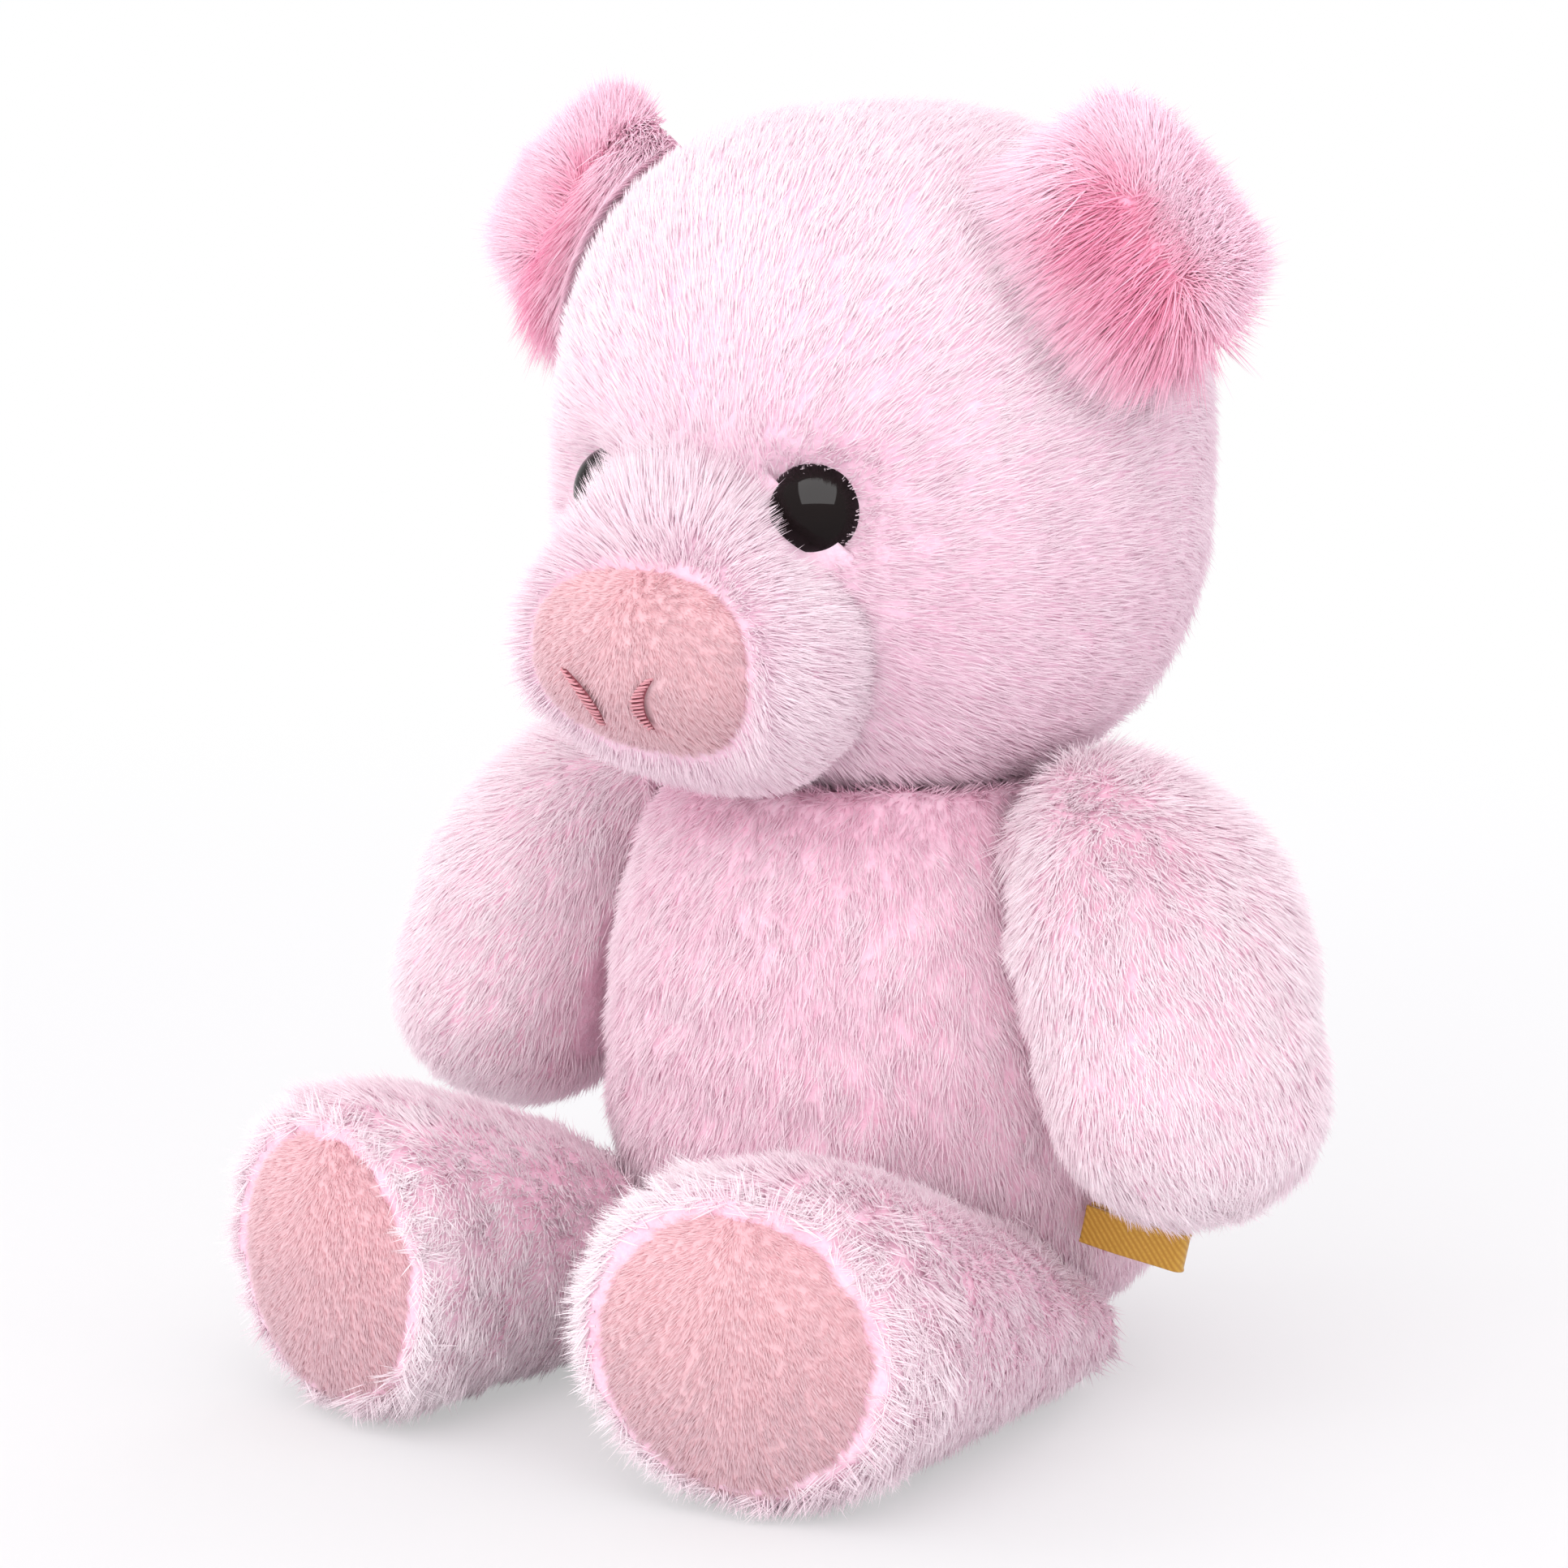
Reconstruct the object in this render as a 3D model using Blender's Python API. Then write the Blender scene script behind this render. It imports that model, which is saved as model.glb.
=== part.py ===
"""A seated plush pig, sewn from pile fabric: covers, stuffing, sewn-in pads, eyes, ears, tail and ribbon tab.

Frame: metres, +Z up, the pig faces -Y, its left is +X. The origin is the centre of the flat seat.
"""
import math

import bmesh
import bpy
import numpy as np
from mathutils import Vector

for leftover in list(bpy.data.objects):
    bpy.data.objects.remove(leftover)

MM = 0.001
DEG = math.radians(1.0)

# Fabric and clearances
COVER_WALL = 5.0 * MM        # pile fabric: the knitted backing with its standing pile
PAD_WALL = 2.4 * MM          # short-nap fabric of the nose and the soles
GAP = 0.3 * MM               # between sewn neighbours
PAD_SEAT = PAD_WALL + GAP    # how far in from its rim a pad reaches
FILL_GAP = 0.6 * MM          # between a cover's wall and its stuffing
NECK_GAP = 0.6 * MM          # between the head and the dish that it turns in
SEAM_GAP = 0.8 * MM          # round a seam that a limb swings on
OVERRUN = 8.0 * MM           # how far a cutter runs past what it cuts
FLOOR_SINK = 0.5 * MM        # depth of the flats that the soft forms stand on

# Torso
TORSO_RADIUS = 51.5 * MM
TORSO_BELLY_HEIGHT = 46.5 * MM
TORSO_TOP_REACH = 73.0 * MM
TORSO_BOTTOM_POWER = 2.25
TORSO_TOP_POWER = 1.9
TORSO_RIM_HEIGHT = 101.5 * MM
NECK_RADIUS = 19.0 * MM
POUCH_TOP = 24.0 * MM

# Head
HEAD_CENTRE = Vector((0.0, -8.0 * MM, 150.0 * MM))
HEAD_RADIUS = 53.5 * MM
HEAD_HALF_HEIGHT = 55.0 * MM
HEAD_POWER = 2.45

# Muzzle and nose, placed from the head's centre
MUZZLE_HALF_WIDTH = 31.5 * MM
MUZZLE_HALF_HEIGHT = 26.5 * MM
MUZZLE_FRONT = 62.5 * MM
MUZZLE_DEPTH = 34.0 * MM
MUZZLE_DROP = 19.5 * MM
MUZZLE_POWER = 2.3
MUZZLE_NARROWING = 0.50      # how much narrower the muzzle's top is, between the eyes
MUZZLE_RIM = 2.4 * MM        # the muzzle's wall where the nose pad is sewn in
NOSE_HALF_WIDTH = 21.5 * MM
NOSE_HALF_HEIGHT = 16.0 * MM
NOSE_DROP = 26.5 * MM
NOSE_DOME = 7.5 * MM
NOSTRIL_SPREAD = 5.6 * MM
NOSTRIL_LENGTH = 7.4 * MM
NOSTRIL_BOW = 1.9 * MM
NOSTRIL_WIDTH = 1.5 * MM
NOSTRIL_RISE = 0.8 * MM
NOSTRIL_DROP = 2.6 * MM

# Eyes
EYE_RADIUS = 7.1 * MM
EYE_DOME = 6.6 * MM
EYE_SIDE = 23.0 * MM
EYE_DROP = 3.5 * MM
EYE_RECESS = 2.6 * MM
SHANK_RADIUS = 1.6 * MM
WASHER_RADIUS = 6.0 * MM
WASHER_THICKNESS = 1.4 * MM

# Ears, each on a straight root that touches the head
EAR_ROOT_ANGLE = 40.0 * DEG  # place of the root on the head, above the level
EAR_ROOT_FORWARD = 5.0 * MM
EAR_WIDTH = 46.0 * MM
EAR_HEIGHT = 28.0 * MM
EAR_HALF_THICKNESS = 6.5 * MM
EAR_ROOT_HALF_THICKNESS = 1.4 * MM
EAR_LEAN = 4.0 * MM
EAR_SEAM_GAP = 0.4 * MM      # leaves the root room to tip on its seam
# share of the ear's width along the root line, then of its height away from the head
EAR_OUTLINE_SHARES = (
    (0.28, 0.00),
    (0.52, 0.10),
    (0.63, 0.38),
    (0.55, 0.88),
    (0.11, 0.93),
    (-0.32, 0.70),
    (-0.38, 0.24),
    (-0.28, 0.00),
)
EAR_MIDDLE_SHARES = (0.12, 0.45)
EAR_RING_SHARES = (1.0, 0.86, 0.62, 0.32)

# Arms
SHOULDER = Vector((36.5 * MM, -10.0 * MM, 88.8 * MM))
SHOULDER_TILT = 19.0 * DEG
ARM_REACH = Vector((40.5 * MM, -13.5 * MM, -53.0 * MM))
ARM_HALF_WIDTH = 22.0 * MM
ARM_HALF_DEPTH = 24.5 * MM
# share of the arm's reach sideways, forward and down, then of its half width and half depth
ARM_STATION_SHARES = (
    (0.00, 0.00, 0.00, 0.71, 0.64),
    (0.20, 0.06, 0.04, 0.80, 0.73),
    (0.42, 0.22, 0.15, 0.93, 0.90),
    (0.62, 0.48, 0.36, 1.00, 0.99),
    (0.80, 0.75, 0.62, 1.00, 1.00),
)
ROUND_END_ANGLES = (24.0 * DEG, 47.0 * DEG, 68.0 * DEG)

# Legs
HIP_HEIGHT = TORSO_BELLY_HEIGHT
HIP_RISE = 6.0 * MM          # how far above the hip's axis a raised leg's root comes
HIP_DRUM_HALF = 40.0 * MM    # half length of the drum that clears the floor under the seat
HIP_DRUM_DIP = 0.8 * MM      # how far that drum reaches below the floor
FOOT_HALF_WIDTH = 31.0 * MM
FOOT_HALF_HEIGHT = 26.5 * MM
FOOT_SIDE = 41.3 * MM
FOOT_FORWARD = 97.5 * MM
LEG_ROOT_SIDE = 36.0 * MM
LEG_ROOT_FORWARD = 5.0 * MM
LEG_ROOT_BULGE_SHARE = 0.6
SOLE_TURN = 9.0 * DEG
# share of the leg's length from the root, of the foot's half sizes, and of the foot's middle height
LEG_STATION_SHARES = (
    (0.00, 0.38, 0.38),
    (0.10, 0.48, 0.48),
    (0.25, 0.61, 0.61),
    (0.42, 0.73, 0.73),
    (0.60, 0.86, 0.86),
    (0.75, 0.96, 0.96),
    (0.86, 1.00, 1.00),
    (0.95, 0.975, 1.00),
    (1.00, 0.90, 1.00),
)
PAD_HALF_WIDTH = 23.0 * MM
PAD_HALF_HEIGHT = 21.5 * MM
PAD_DOME = 6.0 * MM

# Tail
TAIL_HEIGHT = 30.0 * MM
TAIL_TUBE_RADIUS = 3.2 * MM
TAIL_CURL_RADIUS = 6.0 * MM
TAIL_STEM = 6.0 * MM
TAIL_TURNS = 1.2
TAIL_ROOT_SHARE = 0.35       # the root is drawn in, so that it can wag on its seam
TAIL_TIP_SHARE = 0.55
TAIL_PITCH = 8.5 * MM

# Ribbon tab
TAB_PLACE = -19.0 * DEG      # place on the flank, from the pig's left towards its back
TAB_HEIGHT = 31.0 * MM
TAB_WIDTH = 6.2 * MM
TAB_LENGTH = 17.0 * MM
TAB_DROOP = 12.0 * DEG
TAB_DIRECTION = 15.0 * DEG
TAB_THICKNESS = 0.6 * MM
TAB_BEND_RADIUS = 1.2 * MM

# Sides of the rings
BODY_SIDES = 32
LIMB_SIDES = 24
CORE_SIDES = 16
SMALL_SIDES = 12

FRONT = Vector((0.0, -1.0, 0.0))
BACK = Vector((0.0, 1.0, 0.0))
UP = Vector((0.0, 0.0, 1.0))
ACROSS = Vector((1.0, 0.0, 0.0))
BOTH_SIDES = ((1, "left"), (-1, "right"))

# Linear colours
PALE_PILE = (0.86, 0.62, 0.73)
MUZZLE_PILE = (0.90, 0.70, 0.79)
EAR_PILE = (0.88, 0.35, 0.52)
SHORT_NAP = (0.83, 0.51, 0.53)
ROSE_THREAD = (0.55, 0.20, 0.23)
EYE_BLACK = (0.008, 0.006, 0.006)
NATURAL_RESIN = (0.75, 0.74, 0.70)
FIBRE_WHITE = (0.85, 0.85, 0.83)
POUCH_CLOTH = (0.72, 0.70, 0.66)
MUSTARD_TWILL = (0.60, 0.35, 0.05)


# Objects and cuts

def plain_material(name, colour, roughness):
    """A Principled material; colour is linear RGB."""
    material = bpy.data.materials.new(name)
    material.use_nodes = True
    shader = material.node_tree.nodes["Principled BSDF"]
    shader.inputs["Base Color"].default_value = (*colour, 1.0)
    shader.inputs["Roughness"].default_value = roughness
    shader.inputs["Metallic"].default_value = 0.0
    return material


def add_piece(name, mesh, colour, roughness, pivot=None):
    """Link a finished mesh as one named piece, with its origin on its joint if it has one."""
    piece = bpy.data.objects.new(name, mesh)
    bpy.context.collection.objects.link(piece)
    mesh.materials.append(plain_material(name + "_material", colour, roughness))
    mesh.shade_smooth()
    mesh.set_sharp_from_angle(angle=40.0 * DEG)
    if pivot is not None:
        for vertex in mesh.vertices:
            vertex.co -= pivot
        piece.location = pivot
    return piece


def add_cutter(name, mesh):
    """Link a mesh that only cuts others."""
    cutter = bpy.data.objects.new(name, mesh)
    bpy.context.collection.objects.link(cutter)
    cutter.hide_render = True
    cutter.display_type = "WIRE"
    return cutter


def cut(piece, cutter):
    """Take a cutter's shape out of a piece."""
    modifier = piece.modifiers.new("cut_by_" + cutter.name, "BOOLEAN")
    modifier.operation = "DIFFERENCE"
    modifier.solver = "EXACT"
    modifier.object = cutter


# Meshes from loops of points

def loft(name, loops, closed=False):
    """Join loops of points by strips of quads; a loop of one point closes an end as a fan."""
    builder = bmesh.new()
    rows = [[builder.verts.new(point) for point in loop] for loop in loops]
    if closed:
        rows.append(rows[0])
    for row, following in zip(rows, rows[1:]):
        sides = max(len(row), len(following))
        for index in range(sides):
            after = (index + 1) % sides
            if len(row) == 1:
                corners = (row[0], following[index], following[after])
            elif len(following) == 1:
                corners = (row[index], following[0], row[after])
            else:
                corners = (row[index], following[index], following[after], row[after])
            builder.faces.new(corners)
    bmesh.ops.recalc_face_normals(builder, faces=builder.faces)
    mesh = bpy.data.meshes.new(name)
    builder.to_mesh(mesh)
    builder.free()
    return mesh


def pod(name, outer, inner):
    """A wall with one opening: out from the outer pole to the rim, and back to the inner pole."""
    return loft(name, outer + inner[::-1])


def sleeve(name, outer, inner):
    """A wall with two openings: along the outside and back along the inside."""
    return loft(name, outer + inner[::-1], closed=True)


def middle_of(loop):
    """A loop's middle, as a loop of one point."""
    return [sum(loop, Vector()) / len(loop)]


def superellipse(angle, power):
    """A point of the unit superellipse |x|^power + |y|^power = 1 at an angle."""
    across, along = math.cos(angle), math.sin(angle)
    reach = (abs(across) ** power + abs(along) ** power) ** (-1.0 / power)
    return across * reach, along * reach


def oval(centre, across, up, half_width, half_height, sides, power=2.0):
    """A closed oval in the plane of two directions."""
    loop = []
    for index in range(sides):
        x, z = superellipse(2.0 * math.pi * index / sides, power)
        loop.append(centre + across * (x * half_width) + up * (z * half_height))
    return loop


def level_ring(centre_y, radius, height, sides):
    """A circle about a vertical axis."""
    return oval(Vector((0.0, centre_y, height)), ACROSS, FRONT, radius, radius, sides)


def turned(name, seat, outward, profile, sides, closed=False):
    """A turned piece from (radius, height) pairs along an axis; a radius of zero makes a pole."""
    side = outward.orthogonal().normalized()
    other = outward.cross(side)
    loops = []
    for radius, height in profile:
        centre = seat + outward * height
        loops.append(oval(centre, side, other, radius, radius, sides) if radius else [centre])
    return loft(name, loops, closed)


def drum(name, seat, outward, low, high, radius, sides):
    """A plain cylinder along an axis."""
    return turned(name, seat, outward, [(0.0, low), (radius, low), (radius, high), (0.0, high)], sides)


def smooth_step(share):
    """Rise from 0 to 1 with level ends."""
    share = min(max(share, 0.0), 1.0)
    return share * share * (3.0 - 2.0 * share)


# Head form

def head_profile(angle, grown=0.0):
    """Radius and height from the head's centre at an angle above the level, for a form grown outward."""
    across, along = superellipse(angle, HEAD_POWER)
    return across * (HEAD_RADIUS + grown), along * (HEAD_HALF_HEIGHT + grown)


def head_angle_at(radius, grown=0.0):
    """The angle, below the level, at which the head's profile has a radius."""
    low, high = -90.0 * DEG, 0.0
    for _ in range(60):
        middle = 0.5 * (low + high)
        if head_profile(middle, grown)[0] < radius:
            low = middle
        else:
            high = middle
    return 0.5 * (low + high)


def head_underside(radius, grown=0.0):
    """Height of the head's underside at a radius from its axis."""
    return HEAD_CENTRE.z + head_profile(head_angle_at(radius, grown), grown)[1]


def head_loops(grown, count, sides, opening):
    """The head's form grown outward: from the crown down to a round opening at the neck."""
    loops = [[HEAD_CENTRE + UP * (HEAD_HALF_HEIGHT + grown)]]
    for angle in np.linspace(90.0 * DEG, head_angle_at(opening, grown), count + 1)[1:]:
        radius, height = head_profile(angle, grown)
        loops.append(level_ring(HEAD_CENTRE.y, radius, HEAD_CENTRE.z + height, sides))
    return loops


# Torso form

def torso_shift(height):
    """How far the torso's axis lies towards the back at a height."""
    share = (height - TORSO_BELLY_HEIGHT) / (TORSO_RIM_HEIGHT - TORSO_BELLY_HEIGHT)
    return HEAD_CENTRE.y * smooth_step(share)


def torso_radius(height, depth=0.0):
    """The torso's radius at a height, a depth inside its outer form."""
    if height < TORSO_BELLY_HEIGHT:
        reach, power = TORSO_BELLY_HEIGHT + FLOOR_SINK - depth, TORSO_BOTTOM_POWER
    else:
        reach, power = TORSO_TOP_REACH - depth, TORSO_TOP_POWER
    share = abs(height - TORSO_BELLY_HEIGHT) / reach
    return (TORSO_RADIUS - depth) * max(1.0 - share ** power, 0.0) ** (1.0 / power)


def shoulder_point(side):
    """The middle of the shoulder seam."""
    return Vector((side * SHOULDER.x, SHOULDER.y, SHOULDER.z))


def shoulder_normal(side):
    """The outward normal of the plane that an arm is sewn in."""
    return Vector((side * math.cos(SHOULDER_TILT), 0.0, math.sin(SHOULDER_TILT)))


def inside_shoulders(point, depth):
    """Press a point of the torso to at least a depth behind both shoulder planes."""
    for side, _ in BOTH_SIDES:
        beyond = (point - shoulder_point(side)).dot(shoulder_normal(side)) + depth
        if beyond > 0.0:
            point = point - shoulder_normal(side) * beyond
    return point


def torso_heights(bottom, count):
    """Heights that close up towards the rounded bottom."""
    turns = np.linspace(90.0 * DEG, 0.0, count)
    low = TORSO_BELLY_HEIGHT - (TORSO_BELLY_HEIGHT - bottom) * np.sin(turns)
    high = np.linspace(TORSO_BELLY_HEIGHT, TORSO_RIM_HEIGHT, count)[1:]
    return [float(height) for height in (*low, *high)]


def torso_loops(depth, bottom, sides, count):
    """The torso's form a depth inside its outer face: up from the bottom, then inward along the neck's dish."""
    loops = [[UP * bottom]]
    for height in torso_heights(bottom, count)[:-1]:
        ring = level_ring(torso_shift(height), torso_radius(height, depth), height, sides)
        loops.append([inside_shoulders(point, GAP + depth) for point in ring])
    rim = torso_radius(TORSO_RIM_HEIGHT, depth)
    for radius in np.linspace(rim, NECK_RADIUS, 5):
        height = head_underside(float(radius), NECK_GAP + depth)
        ring = level_ring(HEAD_CENTRE.y, float(radius), height, sides)
        loops.append([inside_shoulders(point, GAP + depth) for point in ring])
    return loops


# Pads

def dome_height(share, height):
    """Height of a pad's bulge at a share of its radius."""
    return height * max(1.0 - share ** 2.4, 0.0) ** 0.75


DOME_RING_SHARES = (1.0, 0.93, 0.76, 0.52, 0.26)


def dome_loops(centre, across, outward, sizes, height, power=2.0):
    """A bulging face from its rim to its pole."""
    loops = []
    for share in DOME_RING_SHARES:
        middle = centre + outward * dome_height(share, height)
        loops.append(oval(middle, across, UP, sizes[0] * share, sizes[1] * share, LIMB_SIDES, power))
    return loops + [[centre + outward * height]]


def pad_mesh(name, centre, across, outward, sizes, height, power=2.0):
    """A sewn-in pad: the bulging face, its edge, and the same bulge behind."""
    face = dome_loops(centre, across, outward, sizes, height, power)
    behind = dome_loops(centre - outward * PAD_WALL, across, outward, sizes, height, power)
    return loft(name, face[::-1] + behind)


# Torso

outer = torso_loops(0.0, 0.0, BODY_SIDES, 8)
inner = torso_loops(COVER_WALL, COVER_WALL, BODY_SIDES, 8)
add_piece("torso_cover", pod("torso_cover", outer, inner), PALE_PILE, 0.95)

fill_depth = COVER_WALL + FILL_GAP
plug_radius = NECK_RADIUS - GAP
fill = torso_loops(fill_depth, POUCH_TOP + GAP, CORE_SIDES, 5)[:-1]
fill.append(level_ring(HEAD_CENTRE.y, plug_radius, head_underside(plug_radius, NECK_GAP + fill_depth), CORE_SIDES))
fill.append(level_ring(HEAD_CENTRE.y, plug_radius, head_underside(plug_radius, NECK_GAP), CORE_SIDES))
fill.append([Vector((0.0, HEAD_CENTRE.y, head_underside(0.0, NECK_GAP)))])
add_piece("torso_stuffing", loft("torso_stuffing", fill), FIBRE_WHITE, 1.0)

pouch = [[UP * fill_depth]]
for height in torso_heights(fill_depth, 7):
    if height < POUCH_TOP:
        pouch.append(level_ring(0.0, torso_radius(height, fill_depth), height, CORE_SIDES))
pouch.append(level_ring(0.0, torso_radius(POUCH_TOP, fill_depth), POUCH_TOP, CORE_SIDES))
pouch.append([UP * POUCH_TOP])
add_piece("pellet_pouch", loft("pellet_pouch", pouch), POUCH_CLOTH, 0.9)

# Head

outer = head_loops(0.0, 14, BODY_SIDES, NECK_RADIUS)
inner = head_loops(-COVER_WALL, 14, BODY_SIDES, NECK_RADIUS)
head_cover = add_piece("head_cover", pod("head_cover", outer, inner), PALE_PILE, 0.95, HEAD_CENTRE)

fill = head_loops(-fill_depth, 7, CORE_SIDES, plug_radius)
fill.append(level_ring(HEAD_CENTRE.y, plug_radius, head_underside(plug_radius), CORE_SIDES))
fill.append([HEAD_CENTRE - UP * HEAD_HALF_HEIGHT])
head_stuffing = add_piece("head_stuffing", loft("head_stuffing", fill), FIBRE_WHITE, 1.0, HEAD_CENTRE)

# Muzzle

NOSE_CENTRE = HEAD_CENTRE + FRONT * MUZZLE_FRONT - UP * NOSE_DROP
MUZZLE_BACK = HEAD_CENTRE + FRONT * (MUZZLE_FRONT - MUZZLE_DEPTH) - UP * MUZZLE_DROP
MUZZLE_RING_SHARES = (0.0, 0.35, 0.6, 0.78, 0.9, 0.97, 1.0)


def muzzle_loops(front_sizes, back_sizes, shares):
    """Rings of the muzzle, full behind and rounding in to the nose."""
    loops = []
    for share in shares:
        rest = (1.0 - share ** 3.0) ** 0.5
        sizes = [front + (back - front) * rest for front, back in zip(front_sizes, back_sizes)]
        loop = oval(MUZZLE_BACK.lerp(NOSE_CENTRE, share), ACROSS, UP, *sizes, LIMB_SIDES, MUZZLE_POWER)
        middle = middle_of(loop)[0].z
        for point in loop:
            point.x *= 1.0 - MUZZLE_NARROWING * rest * smooth_step((point.z - middle) / sizes[1])
        loops.append(loop)
    return loops


nose_sizes = (NOSE_HALF_WIDTH, NOSE_HALF_HEIGHT)
opening_sizes = [size + GAP for size in nose_sizes]
rim_sizes = [size + MUZZLE_RIM for size in opening_sizes]
back_sizes = (MUZZLE_HALF_WIDTH, MUZZLE_HALF_HEIGHT)
back_inner_sizes = [size - COVER_WALL for size in back_sizes]
outer = muzzle_loops(rim_sizes, back_sizes, MUZZLE_RING_SHARES)
inner = muzzle_loops(opening_sizes, back_inner_sizes, MUZZLE_RING_SHARES[:4])
inner.append(oval(NOSE_CENTRE - FRONT * PAD_SEAT, ACROSS, UP, *opening_sizes, LIMB_SIDES, MUZZLE_POWER))
inner.append(oval(NOSE_CENTRE, ACROSS, UP, *opening_sizes, LIMB_SIDES, MUZZLE_POWER))
muzzle_cover = add_piece("muzzle_cover", sleeve("muzzle_cover", outer, inner), MUZZLE_PILE, 0.95, HEAD_CENTRE)

fill_back_sizes = [size - 2.0 * FILL_GAP for size in back_inner_sizes]
fill_nose_sizes = [size - FILL_GAP for size in nose_sizes]
fill = [[MUZZLE_BACK]] + muzzle_loops(fill_nose_sizes, fill_back_sizes, MUZZLE_RING_SHARES[:4])
behind_nose = NOSE_CENTRE - FRONT * PAD_SEAT
fill += dome_loops(behind_nose, ACROSS, FRONT, fill_nose_sizes, NOSE_DOME, MUZZLE_POWER)
muzzle_stuffing = add_piece("muzzle_stuffing", loft("muzzle_stuffing", fill), FIBRE_WHITE, 1.0, HEAD_CENTRE)

nose = pad_mesh("nose_pad", NOSE_CENTRE, ACROSS, FRONT, nose_sizes, NOSE_DOME, MUZZLE_POWER)
add_piece("nose_pad", nose, SHORT_NAP, 0.9, HEAD_CENTRE)


def nose_face(x, z, lift):
    """A point at a lift in front of the nose pad's face."""
    share = ((abs(x) / NOSE_HALF_WIDTH) ** MUZZLE_POWER + (abs(z) / NOSE_HALF_HEIGHT) ** MUZZLE_POWER)
    out = dome_height(share ** (1.0 / MUZZLE_POWER), NOSE_DOME) + lift
    return NOSE_CENTRE + ACROSS * x + UP * z + FRONT * out


def nostril_mesh(name, side):
    """A raised bar of satin stitch that bows towards the nose's midline and lies on the pad."""
    loops = []
    for along in np.linspace(-0.5, 0.5, 9):
        middle = side * (NOSTRIL_SPREAD + NOSTRIL_BOW * (4.0 * along * along - 1.0))
        half = 0.5 * NOSTRIL_WIDTH * math.cos(along * math.pi * 0.8)
        z = NOSTRIL_LENGTH * along - NOSTRIL_DROP
        low, high = GAP, GAP + NOSTRIL_RISE
        edges = ((-half, low), (-0.7 * half, high), (0.7 * half, high), (half, low))
        loops.append([nose_face(middle + offset, z, lift) for offset, lift in edges])
    return loft(name, [middle_of(loops[0])] + loops + [middle_of(loops[-1])])


for side, word in BOTH_SIDES:
    name = "nostril_stitch_" + word
    add_piece(name, nostril_mesh(name, side), ROSE_THREAD, 0.6, HEAD_CENTRE)

profile = [head_profile(angle, GAP) for angle in np.linspace(-90.0 * DEG, 90.0 * DEG, 25)[1:-1]]
reach = HEAD_HALF_HEIGHT + GAP
profile = [(0.0, -reach)] + profile + [(0.0, reach)]
head_room = add_cutter("room_for_head", turned("room_for_head", HEAD_CENTRE, UP, profile, 48))
cut(muzzle_cover, head_room)
cut(muzzle_stuffing, head_room)

# Eyes, each with its shank through the head cover and a washer behind

for side, word in BOTH_SIDES:
    level = head_profile(-math.asin(EYE_DROP / HEAD_RADIUS))[0]
    forward = math.sqrt(level * level - EYE_SIDE * EYE_SIDE)
    outward = Vector((side * EYE_SIDE, -forward, 0.0)).normalized()
    seat = HEAD_CENTRE + outward * level - UP * EYE_DROP
    base = GAP - EYE_RECESS
    inside_radius = HEAD_RADIUS - COVER_WALL
    hollow = inside_radius - math.sqrt(inside_radius ** 2 - WASHER_RADIUS ** 2)
    washer_top = -COVER_WALL - hollow - GAP
    washer_low = washer_top - WASHER_THICKNESS
    shank_end = washer_low - GAP
    profile = [(0.0, shank_end), (SHANK_RADIUS, shank_end), (SHANK_RADIUS, base), (EYE_RADIUS, base)]
    for turn in (18.0 * DEG, 36.0 * DEG, 54.0 * DEG, 72.0 * DEG):
        profile.append((EYE_RADIUS * math.cos(turn), base + EYE_DOME * math.sin(turn)))
    profile.append((0.0, base + EYE_DOME))
    name = "eye_" + word
    add_piece(name, turned(name, seat, outward, profile, 20), EYE_BLACK, 0.06, HEAD_CENTRE)

    bore_radius = SHANK_RADIUS + GAP
    ring = [(bore_radius, washer_low), (WASHER_RADIUS, washer_low)]
    ring += [(WASHER_RADIUS, washer_top), (bore_radius, washer_top)]
    name = "eye_washer_" + word
    washer = turned(name, seat, outward, ring, SMALL_SIDES, closed=True)
    add_piece(name, washer, NATURAL_RESIN, 0.4, HEAD_CENTRE)

    name = "room_for_eye_" + word
    recess = add_cutter(name, drum(name, seat, outward, -EYE_RECESS, OVERRUN, EYE_RADIUS + GAP, 24))
    name = "room_for_shank_" + word
    bore = add_cutter(name, drum(name, seat, outward, -COVER_WALL - OVERRUN, OVERRUN, bore_radius, 16))
    name = "room_for_washer_" + word
    pocket = add_cutter(name, drum(name, seat, outward, shank_end - GAP, OVERRUN, WASHER_RADIUS + GAP, 20))
    cut(head_cover, recess)
    cut(head_cover, bore)
    cut(head_stuffing, pocket)


# Ears

def catmull(before, start, end, after, share):
    """A point of the smooth curve through four points, between the middle two."""
    slope = end - before
    bend = 2.0 * before - 5.0 * start + 4.0 * end - after
    twist = 3.0 * start - before - 3.0 * end + after
    return start + 0.5 * share * (slope + share * (bend + share * twist))


def ear_outline(steps=3):
    """The outline in the ear's plane: a smooth curve from root end to root end, and the straight root."""
    corners = [Vector((a * EAR_WIDTH, b * EAR_HEIGHT)) for a, b in EAR_OUTLINE_SHARES]
    points = []
    for index in range(len(corners) - 1):
        before = corners[max(index - 1, 0)]
        after = corners[min(index + 2, len(corners) - 1)]
        for step in range(steps):
            points.append(catmull(before, corners[index], corners[index + 1], after, step / steps))
    points += [corners[-1].lerp(corners[0], step / steps) for step in range(steps)]
    return [Vector((p.x, max(p.y, 0.0))) for p in points]


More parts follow.
